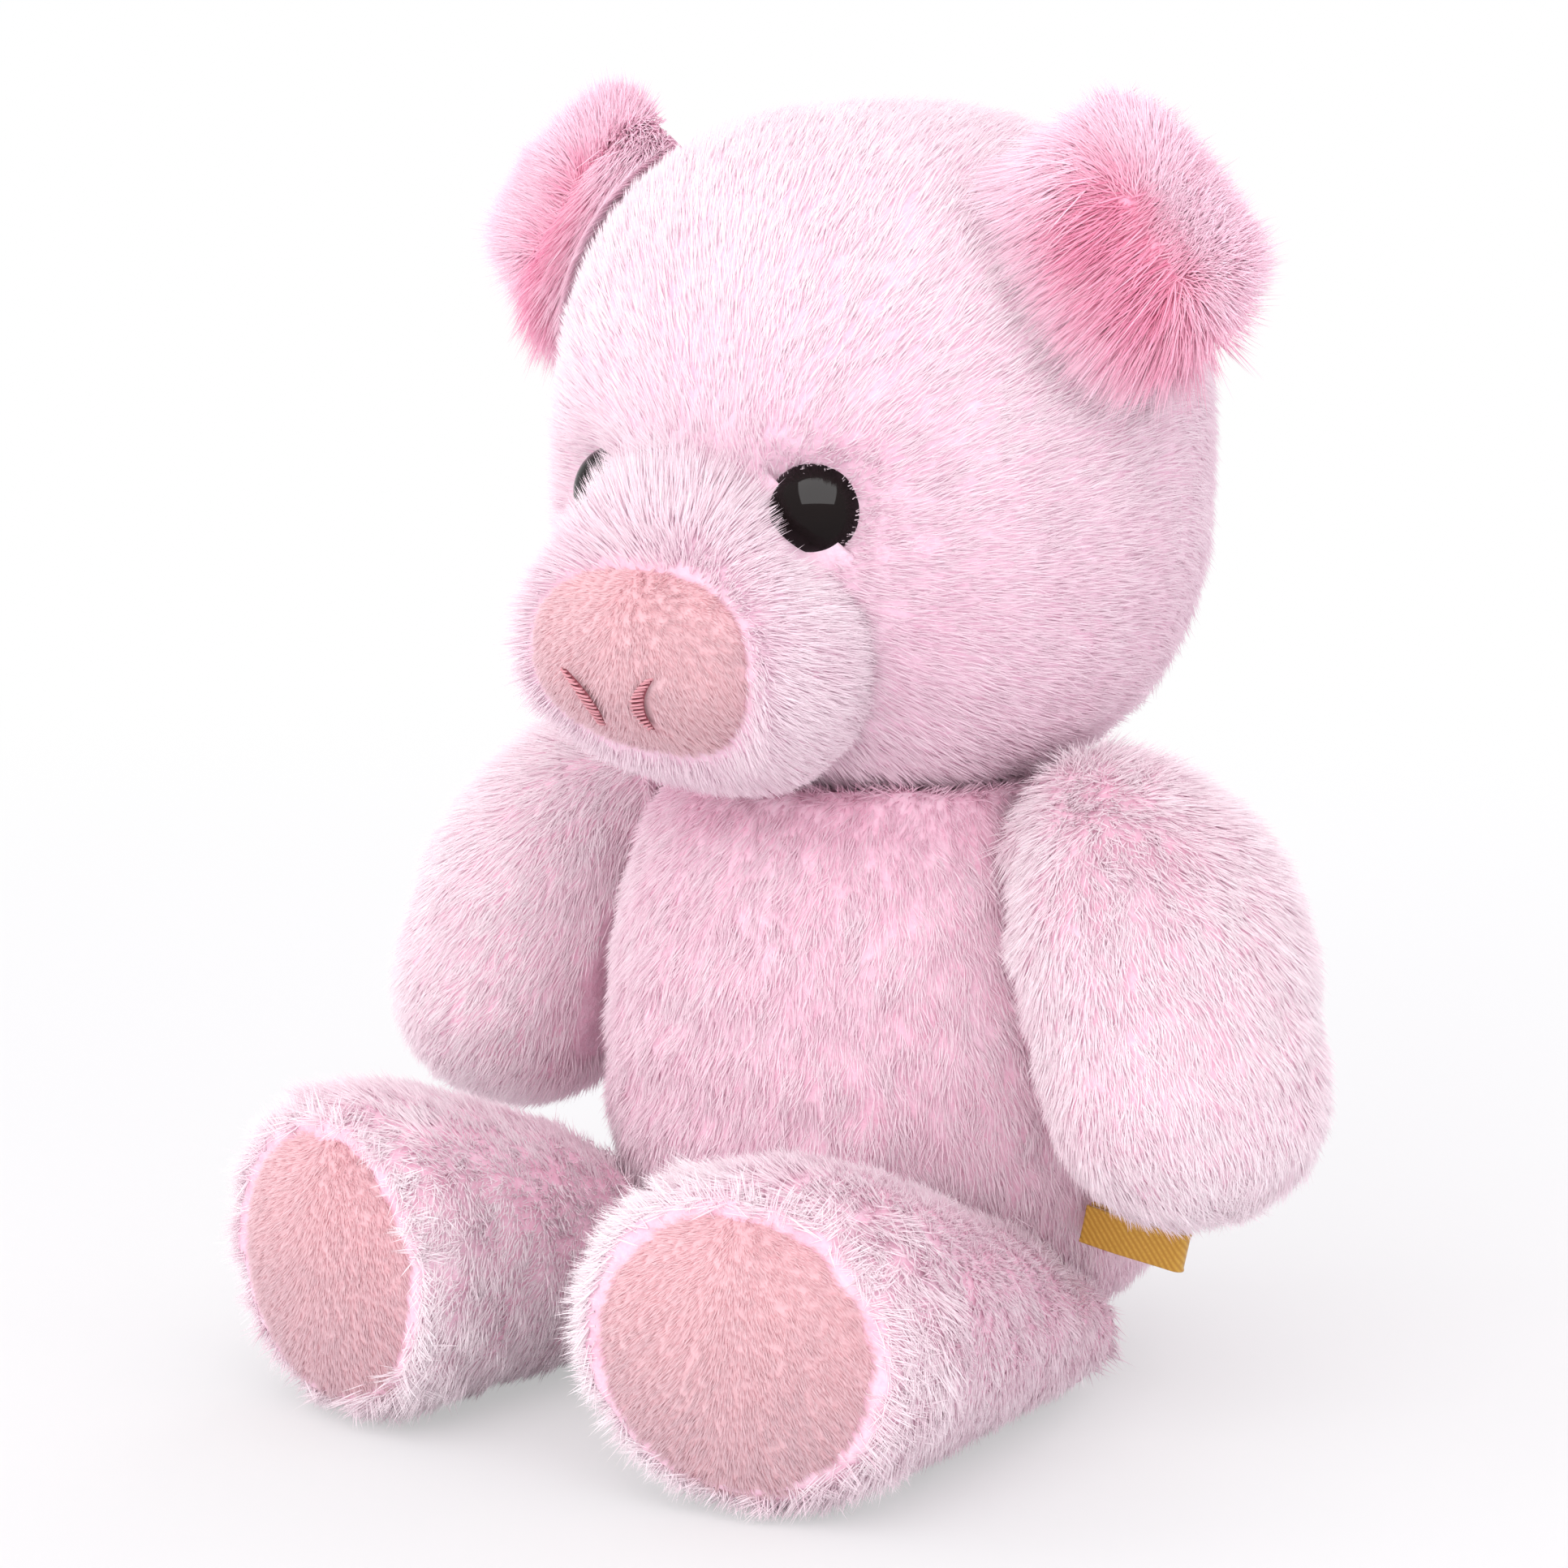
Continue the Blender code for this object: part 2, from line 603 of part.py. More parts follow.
def ear_frame(side):
    """The root's middle, just off the head, with the directions along the root and away from the head."""
    radius, height = head_profile(EAR_ROOT_ANGLE)
    below = head_profile(EAR_ROOT_ANGLE - DEG)
    slope = Vector((below[0] - radius, below[1] - height)).normalized()
    sideways = math.sqrt(radius * radius - EAR_ROOT_FORWARD ** 2)
    along = Vector((side * slope.x, 0.0, slope.y))
    out = Vector((-side * slope.y, 0.0, slope.x))
    root = HEAD_CENTRE + Vector((side * sideways, -EAR_ROOT_FORWARD, height)) + out * EAR_SEAM_GAP
    return root, along, out


def ear_leaf(name, side, face):
    """One leaf of an ear: flat on the middle, full outside, thin at its edge and root."""
    root, along, out = ear_frame(side)
    outline = ear_outline()
    middle = Vector((EAR_MIDDLE_SHARES[0] * EAR_WIDTH, EAR_MIDDLE_SHARES[1] * EAR_HEIGHT))

    def place(flat, lift):
        """A point of the ear's plane, leaned forward with its height and lifted to one face."""
        lean = EAR_LEAN * (flat.y / EAR_HEIGHT) ** 2
        return root + along * flat.x + out * flat.y + FRONT * (lean + face * lift)

    loops = [[place(middle, 0.5 * GAP)], [place(p, 0.5 * GAP) for p in outline]]
    for share in EAR_RING_SHARES:
        bulge = EAR_HALF_THICKNESS - EAR_ROOT_HALF_THICKNESS
        lift = EAR_ROOT_HALF_THICKNESS + bulge * math.sqrt(1.0 - share * share)
        loops.append([place(middle.lerp(p, share), lift) for p in outline])
    return loft(name, loops + [[place(middle, EAR_HALF_THICKNESS)]])


for side, word in BOTH_SIDES:
    for face, leaf in ((1, "front"), (-1, "back")):
        name = "ear_" + word + "_" + leaf
        add_piece(name, ear_leaf(name, side, face), EAR_PILE, 0.95, ear_frame(side)[0])


# Arms

def outside_shoulder(point, side, lift):
    """Press a point of an arm to at least a lift outside its shoulder plane."""
    short = lift - (point - shoulder_point(side)).dot(shoulder_normal(side))
    return point + shoulder_normal(side) * short if short > 0.0 else point


def arm_loops(side, depth, sides):
    """An arm's form a depth inside its outer face: from the shoulder seam to the rounded hand."""
    root = shoulder_point(side)
    centres = []
    for out, forward, down, _, _ in ARM_STATION_SHARES:
        reach = Vector((side * out * ARM_REACH.x, forward * ARM_REACH.y, down * ARM_REACH.z))
        centres.append(root + reach)
    loops = []
    for index, (_, _, _, wide, deep) in enumerate(ARM_STATION_SHARES):
        before, after = centres[max(index - 1, 0)], centres[min(index + 1, len(centres) - 1)]
        along = (after - before).normalized()
        across = along.cross(FRONT).normalized()
        level = across.cross(along)
        sizes = (wide * ARM_HALF_WIDTH - depth, deep * ARM_HALF_DEPTH - depth)
        loops.append(oval(centres[index], across, level, *sizes, sides))
    for angle in ROUND_END_ANGLES:
        middle = centres[-1] + along * (math.sin(angle) * sizes[0])
        shrunk = [size * math.cos(angle) for size in sizes]
        loops.append(oval(middle, across, level, *shrunk, sides))
    tip = centres[-1] + along * sizes[0]
    normal = shoulder_normal(side)
    seam = [point - normal * ((point - root).dot(normal)) for point in loops[0]]
    body = [[outside_shoulder(point, side, depth) for point in loop] for loop in loops[1:]]
    return [seam] + body + [[tip]]


for side, word in BOTH_SIDES:
    outer = arm_loops(side, 0.0, LIMB_SIDES)
    inner = arm_loops(side, COVER_WALL, LIMB_SIDES)
    name = "arm_cover_" + word
    add_piece(name, pod(name, outer[::-1], inner[::-1]), PALE_PILE, 0.95, shoulder_point(side))
    fill = arm_loops(side, fill_depth, SMALL_SIDES)
    name = "arm_stuffing_" + word
    add_piece(name, loft(name, [middle_of(fill[0])] + fill), FIBRE_WHITE, 1.0, shoulder_point(side))


# Legs

def leg_frame(side, share):
    """The floor place under a leg's middle, and its across and forward directions, at a share of its length."""
    run = FOOT_FORWARD - LEG_ROOT_FORWARD
    spread = FOOT_SIDE - LEG_ROOT_SIDE
    turn = math.atan2(spread, run) + SOLE_TURN * share
    place = Vector((side * (LEG_ROOT_SIDE + spread * share), -LEG_ROOT_FORWARD - run * share, 0.0))
    across = Vector((math.cos(turn), side * math.sin(turn), 0.0))
    forward = Vector((side * math.sin(turn), -math.cos(turn), 0.0))
    return place, across, forward


def leg_loops(side, depth):
    """A leg's form a depth inside its outer face, from its rounded root to just short of the sole."""
    loops = []
    for share, size, rise in LEG_STATION_SHARES:
        place, across, forward = leg_frame(side, share)
        centre = place + UP * (rise * FOOT_HALF_HEIGHT - FLOOR_SINK)
        sizes = (size * FOOT_HALF_WIDTH - depth, size * FOOT_HALF_HEIGHT - depth)
        ring = oval(centre, across, UP, *sizes, LIMB_SIDES)
        loops.append([Vector((p.x, p.y, max(p.z, depth))) for p in ring])
    place, across, forward = leg_frame(side, 0.0)
    size = LEG_STATION_SHARES[0][1] * FOOT_HALF_HEIGHT
    pole = place + UP * (size - FLOOR_SINK) - forward * (LEG_ROOT_BULGE_SHARE * (size - depth))
    return [[pole]] + loops


def torso_reach(x):
    """The farthest torso point from the hip axis in the slice at x, as far up as a leg's root comes."""
    farthest = 0.0
    for height in np.linspace(0.0, HIP_HEIGHT + HIP_RISE, 60):
        radius = torso_radius(height)
        if radius > abs(x):
            front = math.sqrt(radius * radius - x * x) - torso_shift(height)
            farthest = max(farthest, math.hypot(front, height - HIP_HEIGHT))
    return farthest


def hip_drum(name):
    """The room that the torso takes up when the legs swing about the hip axis, as a turned drum."""
    half = TORSO_RADIUS + SEAM_GAP
    profile = [(0.0, -half - SEAM_GAP)]
    for x in np.linspace(-half, half, 45):
        reach = torso_reach(float(x)) + SEAM_GAP
        if abs(x) < HIP_DRUM_HALF:
            reach = max(reach, HIP_HEIGHT + HIP_DRUM_DIP)
        profile.append((reach, float(x)))
    profile.append((0.0, half + SEAM_GAP))
    return turned(name, UP * HIP_HEIGHT, ACROSS, profile, 64)


hip_room = add_cutter("room_for_torso", hip_drum("room_for_torso"))
hip = UP * HIP_HEIGHT
for side, word in BOTH_SIDES:
    place, across, forward = leg_frame(side, 1.0)
    sole = place + UP * (FOOT_HALF_HEIGHT - FLOOR_SINK)
    opening = (PAD_HALF_WIDTH + GAP, PAD_HALF_HEIGHT + GAP)
    outer = leg_loops(side, 0.0)
    inner = leg_loops(side, COVER_WALL)[:-1]
    inner.append(oval(sole - forward * PAD_SEAT, across, UP, *opening, LIMB_SIDES))
    inner.append(oval(sole, across, UP, *opening, LIMB_SIDES))
    name = "leg_cover_" + word
    leg_cover = add_piece(name, pod(name, outer, inner), PALE_PILE, 0.95, hip)
    cut(leg_cover, hip_room)

    sizes = (PAD_HALF_WIDTH, PAD_HALF_HEIGHT)
    fill = leg_loops(side, fill_depth)[:-1]
    fill += dome_loops(sole - forward * PAD_SEAT, across, forward, sizes, PAD_DOME)
    name = "leg_stuffing_" + word
    leg_stuffing = add_piece(name, loft(name, fill), FIBRE_WHITE, 1.0, hip)
    cut(leg_stuffing, hip_room)

    name = "foot_pad_" + word
    add_piece(name, pad_mesh(name, sole, across, forward, sizes, PAD_DOME), SHORT_NAP, 0.9, hip)

# Tail

tail_root = Vector((0.0, torso_radius(TAIL_HEIGHT) + EAR_SEAM_GAP, TAIL_HEIGHT))
tail_line = [tail_root, tail_root + BACK * (0.5 * TAIL_STEM), tail_root + BACK * TAIL_STEM]
for turn in np.linspace(0.0, TAIL_TURNS, 15)[1:]:
    angle = 2.0 * math.pi * turn
    ease = smooth_step(turn / 0.25)
    out = ACROSS * math.sin(angle) + UP * (1.0 - math.cos(angle)) * ease
    tail_line.append(tail_root + BACK * (TAIL_STEM + TAIL_PITCH * turn) + out * TAIL_CURL_RADIUS)
tail_curve = bpy.data.curves.new("tail", "CURVE")
tail_curve.dimensions = "3D"
tail_curve.bevel_depth = TAIL_TUBE_RADIUS
tail_curve.bevel_resolution = 3
tail_curve.use_fill_caps = True
spline = tail_curve.splines.new("POLY")
spline.points.add(len(tail_line) - 1)
for index, (point, place) in enumerate(zip(spline.points, tail_line)):
    point.co = (*(place - tail_root), 1.0)
    left = (len(tail_line) - 1 - index) / (len(tail_line) - 1)
    point.radius = TAIL_TIP_SHARE + (1.0 - TAIL_TIP_SHARE) * smooth_step(left / 0.4)
spline.points[0].radius = TAIL_ROOT_SHARE
tail = bpy.data.objects.new("tail", tail_curve)
tail.location = tail_root
bpy.context.collection.objects.link(tail)
tail_curve.materials.append(plain_material("tail_material", PALE_PILE, 0.95))

# Ribbon tab: a band that runs out from the flank seam, folds over and comes back

tab_out = Vector((math.cos(TAB_PLACE), math.sin(TAB_PLACE), 0.0))
tab_seat = tab_out * torso_radius(TAB_HEIGHT) + UP * TAB_HEIGHT
tab_run = Vector((math.cos(TAB_DIRECTION), math.sin(TAB_DIRECTION), 0.0))
tab_along = (tab_run * math.cos(TAB_DROOP) - UP * math.sin(TAB_DROOP)).normalized()
tab_side = tab_along.cross(UP).normalized()
tab_edge = tab_side.cross(tab_along).normalized()
tab_root = tab_seat + tab_out * (GAP * 2.0)
tab_line = []
for side in (1.0, -1.0):
    run = [(share * (TAB_LENGTH - TAB_BEND_RADIUS), side * TAB_BEND_RADIUS, 0.0, side) for share in (0.0, 0.5, 1.0)]
    tab_line.append(run)
tab_path = tab_line[0]
for turn in (60.0 * DEG, 30.0 * DEG, 0.0, -30.0 * DEG, -60.0 * DEG):
    along = TAB_LENGTH - TAB_BEND_RADIUS + TAB_BEND_RADIUS * math.cos(turn)
    tab_path.append((along, TAB_BEND_RADIUS * math.sin(turn), math.cos(turn), math.sin(turn)))
tab_path += tab_line[1][::-1]
loops = []
for along, across, normal_along, normal_across in tab_path:
    middle = tab_root + tab_along * along + tab_side * across
    normal = tab_along * normal_along + tab_side * normal_across
    inside = middle - normal * TAB_THICKNESS
    half = tab_edge * (0.5 * TAB_WIDTH)
    loops.append([middle + half, middle - half, inside - half, inside + half])
tab_mesh = loft("side_tab", [middle_of(loops[0])] + loops + [middle_of(loops[-1])])
add_piece("side_tab", tab_mesh, MUSTARD_TWILL, 0.6, tab_root)
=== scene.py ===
# %% [markdown]
# # A seated plush pig
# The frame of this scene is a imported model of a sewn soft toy: covers, stuffing, eyes, ears, pads and
# a ribbon tab, each in its place. This lesson dresses that frame. Every cover gets a knitted backing
# and thousands of pile strands, because what the eye reads as plush is light caught between fibres.
# The strands are real geometry, so the fur has a true silhouette from every side.

# %% Load the frame
import math

import bpy
import numpy as np
from mathutils import Matrix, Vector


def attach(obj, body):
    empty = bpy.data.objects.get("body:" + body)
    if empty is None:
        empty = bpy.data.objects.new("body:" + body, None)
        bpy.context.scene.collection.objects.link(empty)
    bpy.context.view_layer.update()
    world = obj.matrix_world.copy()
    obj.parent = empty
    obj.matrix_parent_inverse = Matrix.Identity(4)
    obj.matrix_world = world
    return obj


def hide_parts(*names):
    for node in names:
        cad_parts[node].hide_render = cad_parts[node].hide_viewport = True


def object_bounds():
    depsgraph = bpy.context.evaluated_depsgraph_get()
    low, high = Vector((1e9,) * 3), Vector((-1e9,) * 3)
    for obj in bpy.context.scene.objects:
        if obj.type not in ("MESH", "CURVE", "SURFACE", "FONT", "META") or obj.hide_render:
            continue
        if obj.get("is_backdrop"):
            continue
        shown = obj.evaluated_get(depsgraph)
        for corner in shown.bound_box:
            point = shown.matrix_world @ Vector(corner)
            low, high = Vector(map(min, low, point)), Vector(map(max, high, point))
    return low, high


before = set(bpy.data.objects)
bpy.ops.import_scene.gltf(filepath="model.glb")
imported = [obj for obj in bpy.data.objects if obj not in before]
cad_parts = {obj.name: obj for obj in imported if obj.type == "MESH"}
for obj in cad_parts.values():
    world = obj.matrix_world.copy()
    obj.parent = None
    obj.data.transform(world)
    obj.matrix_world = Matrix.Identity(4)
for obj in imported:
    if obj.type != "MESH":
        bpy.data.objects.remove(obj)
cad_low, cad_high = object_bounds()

MM = 0.001
print("box in mm", [round(1000 * (b - a), 1) for a, b in zip(cad_low, cad_high)])

# %% [markdown]
# ## Camera
# The photograph looks at the pig from its left front, a little above its middle. A long lens from
# far away keeps both feet the same size, so the camera stands 0.79 m off. It is placed by the point
# that it looks at, its azimuth and its elevation, which is how a photographer would describe it.

# %% Camera at the photograph's view
AIM = np.array([0.0, -0.034, 0.099])
AZIMUTH, ELEVATION, DISTANCE = math.radians(38.5), math.radians(9.2), 0.79
FOCAL_PIXELS, PHOTO_PIXELS = 6075, 1932

sideways = np.array([math.cos(AZIMUTH), math.sin(AZIMUTH), 0.0])
backward = np.array([math.sin(AZIMUTH) * math.cos(ELEVATION), -math.cos(AZIMUTH) * math.cos(ELEVATION),
                     math.sin(ELEVATION)])
upward = np.cross(backward, sideways)
camera = bpy.data.objects.new("studio_camera", bpy.data.cameras.new("studio_camera"))
camera.data.sensor_width = 36.0
camera.data.lens = 36.0 * FOCAL_PIXELS / PHOTO_PIXELS
placing = np.eye(4)
placing[:3, :3] = np.stack([sideways, upward, backward], axis=1)
placing[:3, 3] = AIM + DISTANCE * backward
camera.matrix_world = Matrix(placing.tolist())
bpy.context.collection.objects.link(camera)
bpy.context.scene.camera = camera
bpy.context.scene.view_settings.view_transform = "Standard"
print("lens", round(camera.data.lens, 1), "mm")

# %% [markdown]
# ## Small tools for materials
# A colour is written as the hex value that a picture editor shows, and one function turns it to the
# linear values that the shaders work with. One more function adds a node with its settings and links.

# %% Colours and nodes
def hex_colour(text):
    """sRGB hex to linear RGBA: each channel is a share of 255, then (c + 0.055) / 1.055 to the power 2.4."""
    shares = [int(text[i:i + 2], 16) / 255 for i in (1, 3, 5)]
    return tuple(c / 12.92 if c <= 0.04045 else ((c + 0.055) / 1.055) ** 2.4 for c in shares) + (1.0,)


def add_node(tree, kind, links=(), values=(), **settings):
    """Add a node, set its settings and input values, and link (input, output socket) pairs into it."""
    node = tree.nodes.new(kind)
    for name, value in settings.items():
        setattr(node, name, value)
    for name, value in dict(values).items():
        node.inputs[name].default_value = value
    for name, socket in dict(links).items():
        tree.links.new(socket, node.inputs[name])
    return node


def new_material(name):
    """A material with only its Principled shader and output; returns it with its tree and shader."""
    material = bpy.data.materials.new(name)
    material.use_nodes = True
    return material, material.node_tree, material.node_tree.nodes["Principled BSDF"]


# a Mix node's colours A and B, and its colour result, by place, because their names aren't unique
MIX_A, MIX_B, MIX_RESULT = 6, 7, 2
print("salmon nap as linear", [round(c, 3) for c in hex_colour("#EDBFC3")])

# %% [markdown]
# ## Studio
# The photograph is lit by large soft boxes in a white room: no hard shadow, a slightly cooler side
# away from the key light. Here five wide lamps and a pale world do the same. A sixth lamp, shaped
# like a window, lights the eyes alone, because a highlight of that shape is what makes a black dome
# look polished. The floor is white to the camera and still takes the pig's soft shadow, because part
# of its white comes from Emission and the rest from the light that falls on it.

# %% World
world = bpy.data.worlds.new("white_room")
bpy.context.scene.world = world
world.use_nodes = True
room = world.node_tree
room.nodes.clear()
path = add_node(room, "ShaderNodeLightPath")
seen = add_node(room, "ShaderNodeMath",
                {0: path.outputs["Is Camera Ray"], 1: path.outputs["Is Glossy Ray"]}, operation="MAXIMUM")
seen = add_node(room, "ShaderNodeMath", {0: seen.outputs[0], 1: path.outputs["Is Transmission Ray"]},
                operation="MAXIMUM")
ambient = add_node(room, "ShaderNodeBackground", values={"Color": hex_colour("#FBF9FB"), "Strength": 0.93})
white = add_node(room, "ShaderNodeBackground", values={"Color": (1, 1, 1, 1), "Strength": 1.0})
either = add_node(room, "ShaderNodeMixShader",
                  {0: seen.outputs[0], 1: ambient.outputs[0], 2: white.outputs[0]})
add_node(room, "ShaderNodeOutputWorld", {"Surface": either.outputs[0]})
print("world ambient strength", ambient.inputs["Strength"].default_value)


# %% Lamps and floor
def soft_box(name, place, target, size, power, colour, mirrored=True):
    """A square area lamp at a place, facing a target: its -Z axis runs along target minus place."""
    lamp = bpy.data.lights.new(name, "AREA")
    lamp.shape, lamp.size, lamp.energy, lamp.color = "SQUARE", size, power, hex_colour(colour)[:3]
    holder = bpy.data.objects.new(name, lamp)
    back = np.subtract(place, target) / np.linalg.norm(np.subtract(place, target))
    side = np.cross([0.0, 0.0, 1.0], back)
    side /= np.linalg.norm(side)
    matrix = np.eye(4)
    matrix[:3, :3] = np.stack([side, np.cross(back, side), back], axis=1)
    matrix[:3, 3] = place
    holder.matrix_world = Matrix(matrix.tolist())
    holder.visible_glossy = mirrored
    bpy.context.collection.objects.link(holder)
    return holder


# the middle of the pig, at which every lamp is aimed
middle = (0.0, -0.02, 0.10)
soft_box("key_box", (0.45, -0.85, 1.05), middle, 1.0, 4.6, "#FFFCFA", False)
soft_box("fill_box", (1.35, -0.35, 0.65), middle, 1.0, 2.6, "#FBFAFF", False)
soft_box("low_box", (0.30, -1.35, 0.30), middle, 0.7, 5.0, "#FFFCFC", False)
soft_box("side_box", (-1.1, -0.9, 0.55), middle, 1.0, 3.6, "#FFFCFD", False)
# the collection that this one lights is made in the cell on the eyes
window_box = soft_box("window_box", (0.41, -0.52, 0.80), middle, 1.5, 42.0, "#FFFFFF")
window_box.data.shape, window_box.data.size_y = "RECTANGLE", 1.1
soft_box("back_box", (-0.3, 1.2, 1.0), middle, 1.0, 5.0, "#FFFFFF")

floor_mesh = bpy.data.meshes.new("floor")
floor_mesh.from_pydata([(-4, -4, 0), (4, -4, 0), (4, 4, 0), (-4, 4, 0)], [], [(0, 1, 2, 3)])
floor = bpy.data.objects.new("floor", floor_mesh)
bpy.context.collection.objects.link(floor)
# matte paper: no gloss at all, so that the floor shows the shadow and never a reflection
paper, tree, shader = new_material("white_paper_matte")
shader.inputs["Base Color"].default_value = hex_colour("#E6E6E8")
shader.inputs["Roughness"].default_value = 0.9
shader.inputs["Specular IOR Level"].default_value = 0.0
path = add_node(tree, "ShaderNodeLightPath")
# from 0.25 m to 0.8 m out, the paper fades into the white room
place = add_node(tree, "ShaderNodeTexCoord")
far = add_node(tree, "ShaderNodeVectorMath", {0: place.outputs["Object"]}, operation="LENGTH")
edge = add_node(tree, "ShaderNodeMapRange", {0: far.outputs[1]}, {"From Min": 0.25, "From Max": 0.8},
                interpolation_type="SMOOTHSTEP")
glow = add_node(tree, "ShaderNodeEmission", values={"Color": (1, 1, 1, 1), "Strength": 1.0})
lit = add_node(tree, "ShaderNodeMixShader", {1: shader.outputs[0], 2: glow.outputs[0]}, {0: 0.45})
both = add_node(tree, "ShaderNodeMixShader", {0: edge.outputs[0], 1: lit.outputs[0], 2: glow.outputs[0]})
seen = add_node(tree, "ShaderNodeMath",
                {0: path.outputs["Is Camera Ray"], 1: path.outputs["Is Glossy Ray"]}, operation="MAXIMUM")
shown = add_node(tree, "ShaderNodeMixShader", {0: seen.outputs[0], 1: shader.outputs[0], 2: both.outputs[0]})
tree.links.new(shown.outputs[0], tree.nodes["Material Output"].inputs["Surface"])
floor.data.materials.append(paper)
floor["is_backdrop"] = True
print("lamps and floor placed")

# %% [markdown]
# ## Surfaces from grids
# Each cover is a surface of two parameters: rows run along the piece and columns run round it. The
# functions below return such grids as whole arrays. One function closes a grid's ends with fans and
# puts it into a mesh, so that every backing is one closed shell with its faces outwards.

# %% Grid to mesh
def fill_mesh(name, points, corners, sizes, uv=None):
    """A mesh from whole arrays: points, the faces' corner indices in a row, and each face's corner count."""
    mesh = bpy.data.meshes.new(name)
    mesh.vertices.add(len(points))
    mesh.vertices.foreach_set("co", np.ascontiguousarray(points, np.float32).ravel())
    mesh.loops.add(len(corners))
    mesh.loops.foreach_set("vertex_index", corners.astype(np.int32))
    mesh.polygons.add(len(sizes))
    starts = np.concatenate([[0], np.cumsum(sizes)[:-1]]).astype(np.int32)
    mesh.polygons.foreach_set("loop_start", starts)
    mesh.polygons.foreach_set("use_smooth", np.full(len(sizes), True))
    if uv is not None:
        layer = mesh.uv_layers.new(name="OFBake")
        layer.uv.foreach_set("vector", np.ascontiguousarray(uv[corners], np.float32).ravel())
    mesh.update(calc_edges=True)
    mesh.validate()
    return mesh


def closed_arrays(grid):
    """Points, corners and counts of a grid closed by a fan at each end, with its faces turned outwards."""
    rows, columns = grid.shape[:2]
    points = np.concatenate([grid.reshape(-1, 3), grid[0].mean(0)[None], grid[-1].mean(0)[None]])
    index = np.arange(rows * columns).reshape(rows, columns)
    after = np.roll(index, -1, axis=1)
    quads = np.stack([index[:-1], after[:-1], after[1:], index[1:]], axis=-1).reshape(-1, 4)
    first = np.stack([np.full(columns, rows * columns), after[0], index[0]], axis=-1)
    last = np.stack([np.full(columns, rows * columns + 1), index[-1], after[-1]], axis=-1)
    a, b, c, d = (points[quads[:, k]] for k in range(4))
    volume = np.einsum("ij,ij->", np.cross(a, b), c) + np.einsum("ij,ij->", np.cross(a, c), d)
    if volume < 0:
        quads, first, last = quads[:, ::-1], first[:, ::-1], last[:, ::-1]
    corners = np.concatenate([quads.ravel(), first.ravel(), last.ravel()])
    sizes = np.concatenate([np.full(len(quads), 4), np.full(2 * columns, 3)])
    return points, corners, sizes


def add_object(name, mesh, material, body, replaces=()):
    """Link a finished mesh as a piece that rides on a body and may stand for CAD nodes."""
    piece = bpy.data.objects.new(name, mesh)
    bpy.context.collection.objects.link(piece)
    mesh.materials.append(material)
    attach(piece, body)
    if replaces:
        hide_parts(*replaces)
    return piece


print("grid tools ready")


# %% Curves and rows
def smooth_rows(rows, steps):
    """Catmull-Rom curves through the rows of a grid: each span is cut in steps, and the end rows are kept."""
    padded = np.concatenate([2 * rows[:1] - rows[1:2], rows, 2 * rows[-1:] - rows[-2:-1]])
    t = np.linspace(0, 1, steps, endpoint=False).reshape(1, -1, *([1] * (rows.ndim - 1)))
    p0, p1, p2, p3 = (padded[k:len(rows) - 1 + k, None] for k in range(4))
    curve = p1 + 0.5 * t * (p2 - p0 + t * (2 * p0 - 5 * p1 + 4 * p2 - p3 + t * (3 * p1 - p0 - 3 * p2 + p3)))
    return np.concatenate([curve.reshape(-1, *rows.shape[1:]), rows[-1:]])


def rise(share):
    """Smooth step: three times the square minus two times the cube of a share held to 0..1."""
    share = np.clip(share, 0, 1)
    return share * share * (3 - 2 * share)


def round_angles(sides):
    """Angles of a closed ring of points."""
    return np.arange(sides) * (2 * math.pi / sides)


def super_ring(angles, power):
    """Points of the curve |x|^power + |y|^power = 1 at the given angles."""
    across, along = np.cos(angles), np.sin(angles)
    reach = (np.abs(across) ** power + np.abs(along) ** power) ** (-1 / power)
    return across * reach, along * reach


def patches(points, size, seed):
    """Soft patches from -1 to 1: the mean of fourteen plane waves of about one size, in random directions."""
    rng = np.random.default_rng(seed)
    waves = rng.normal(size=(14, 3))
    waves *= (2 * math.pi / size / np.linalg.norm(waves, axis=1) * rng.uniform(0.6, 1.5, 14))[:, None]
    return np.clip(np.cos(points @ waves.T + rng.uniform(0, 2 * math.pi, 14)).mean(-1) * 2.2, -1, 1)


def unit(vectors):
    """Vectors at length one."""
    return vectors / np.maximum(np.linalg.norm(vectors, axis=-1, keepdims=True), 1e-12)


def outward_normals(grid):
    """Normals of a grid from its two directions, turned so that most of them point away from its middle."""
    up = np.gradient(grid, axis=0)
    normal = unit(np.cross(np.roll(grid, -1, 1) - np.roll(grid, 1, 1), up))
    return -normal if np.einsum("ijk,ijk->", normal, grid - grid.mean((0, 1))) < 0 else normal


def soften(grid, height, size, seed):
    """The soft clumps of stuffed plush: each point moves along its normal by a height times the patches
    there."""
    return grid + (height * patches(grid, size, seed))[..., None] * outward_normals(grid)


X, Y, Z = np.eye(3)
SIDES = 96
print("rings have", SIDES, "points")

# %% [markdown]
# ## The pig's forms
# The forms follow the frame: a head like a softly squared ball, a pear-shaped torso with a dish for
# the head, arms that hang from a flat shoulder seam, and legs that run forward along the floor. Each
# is worked out a chosen depth inside its cover. Plush is so dense that the eye never reaches the
# knitted ground: it meets a soft body of fibres a little below the tips, and that is where the
# shells lie.

# %% Head form
PILE_DEPTH = 2.0 * MM
HEAD_CENTRE = np.array([0.0, -8.0, 150.0]) * MM
HEAD_RADIUS, HEAD_HALF_HEIGHT, HEAD_POWER = 53.5 * MM, 55.0 * MM, 2.45


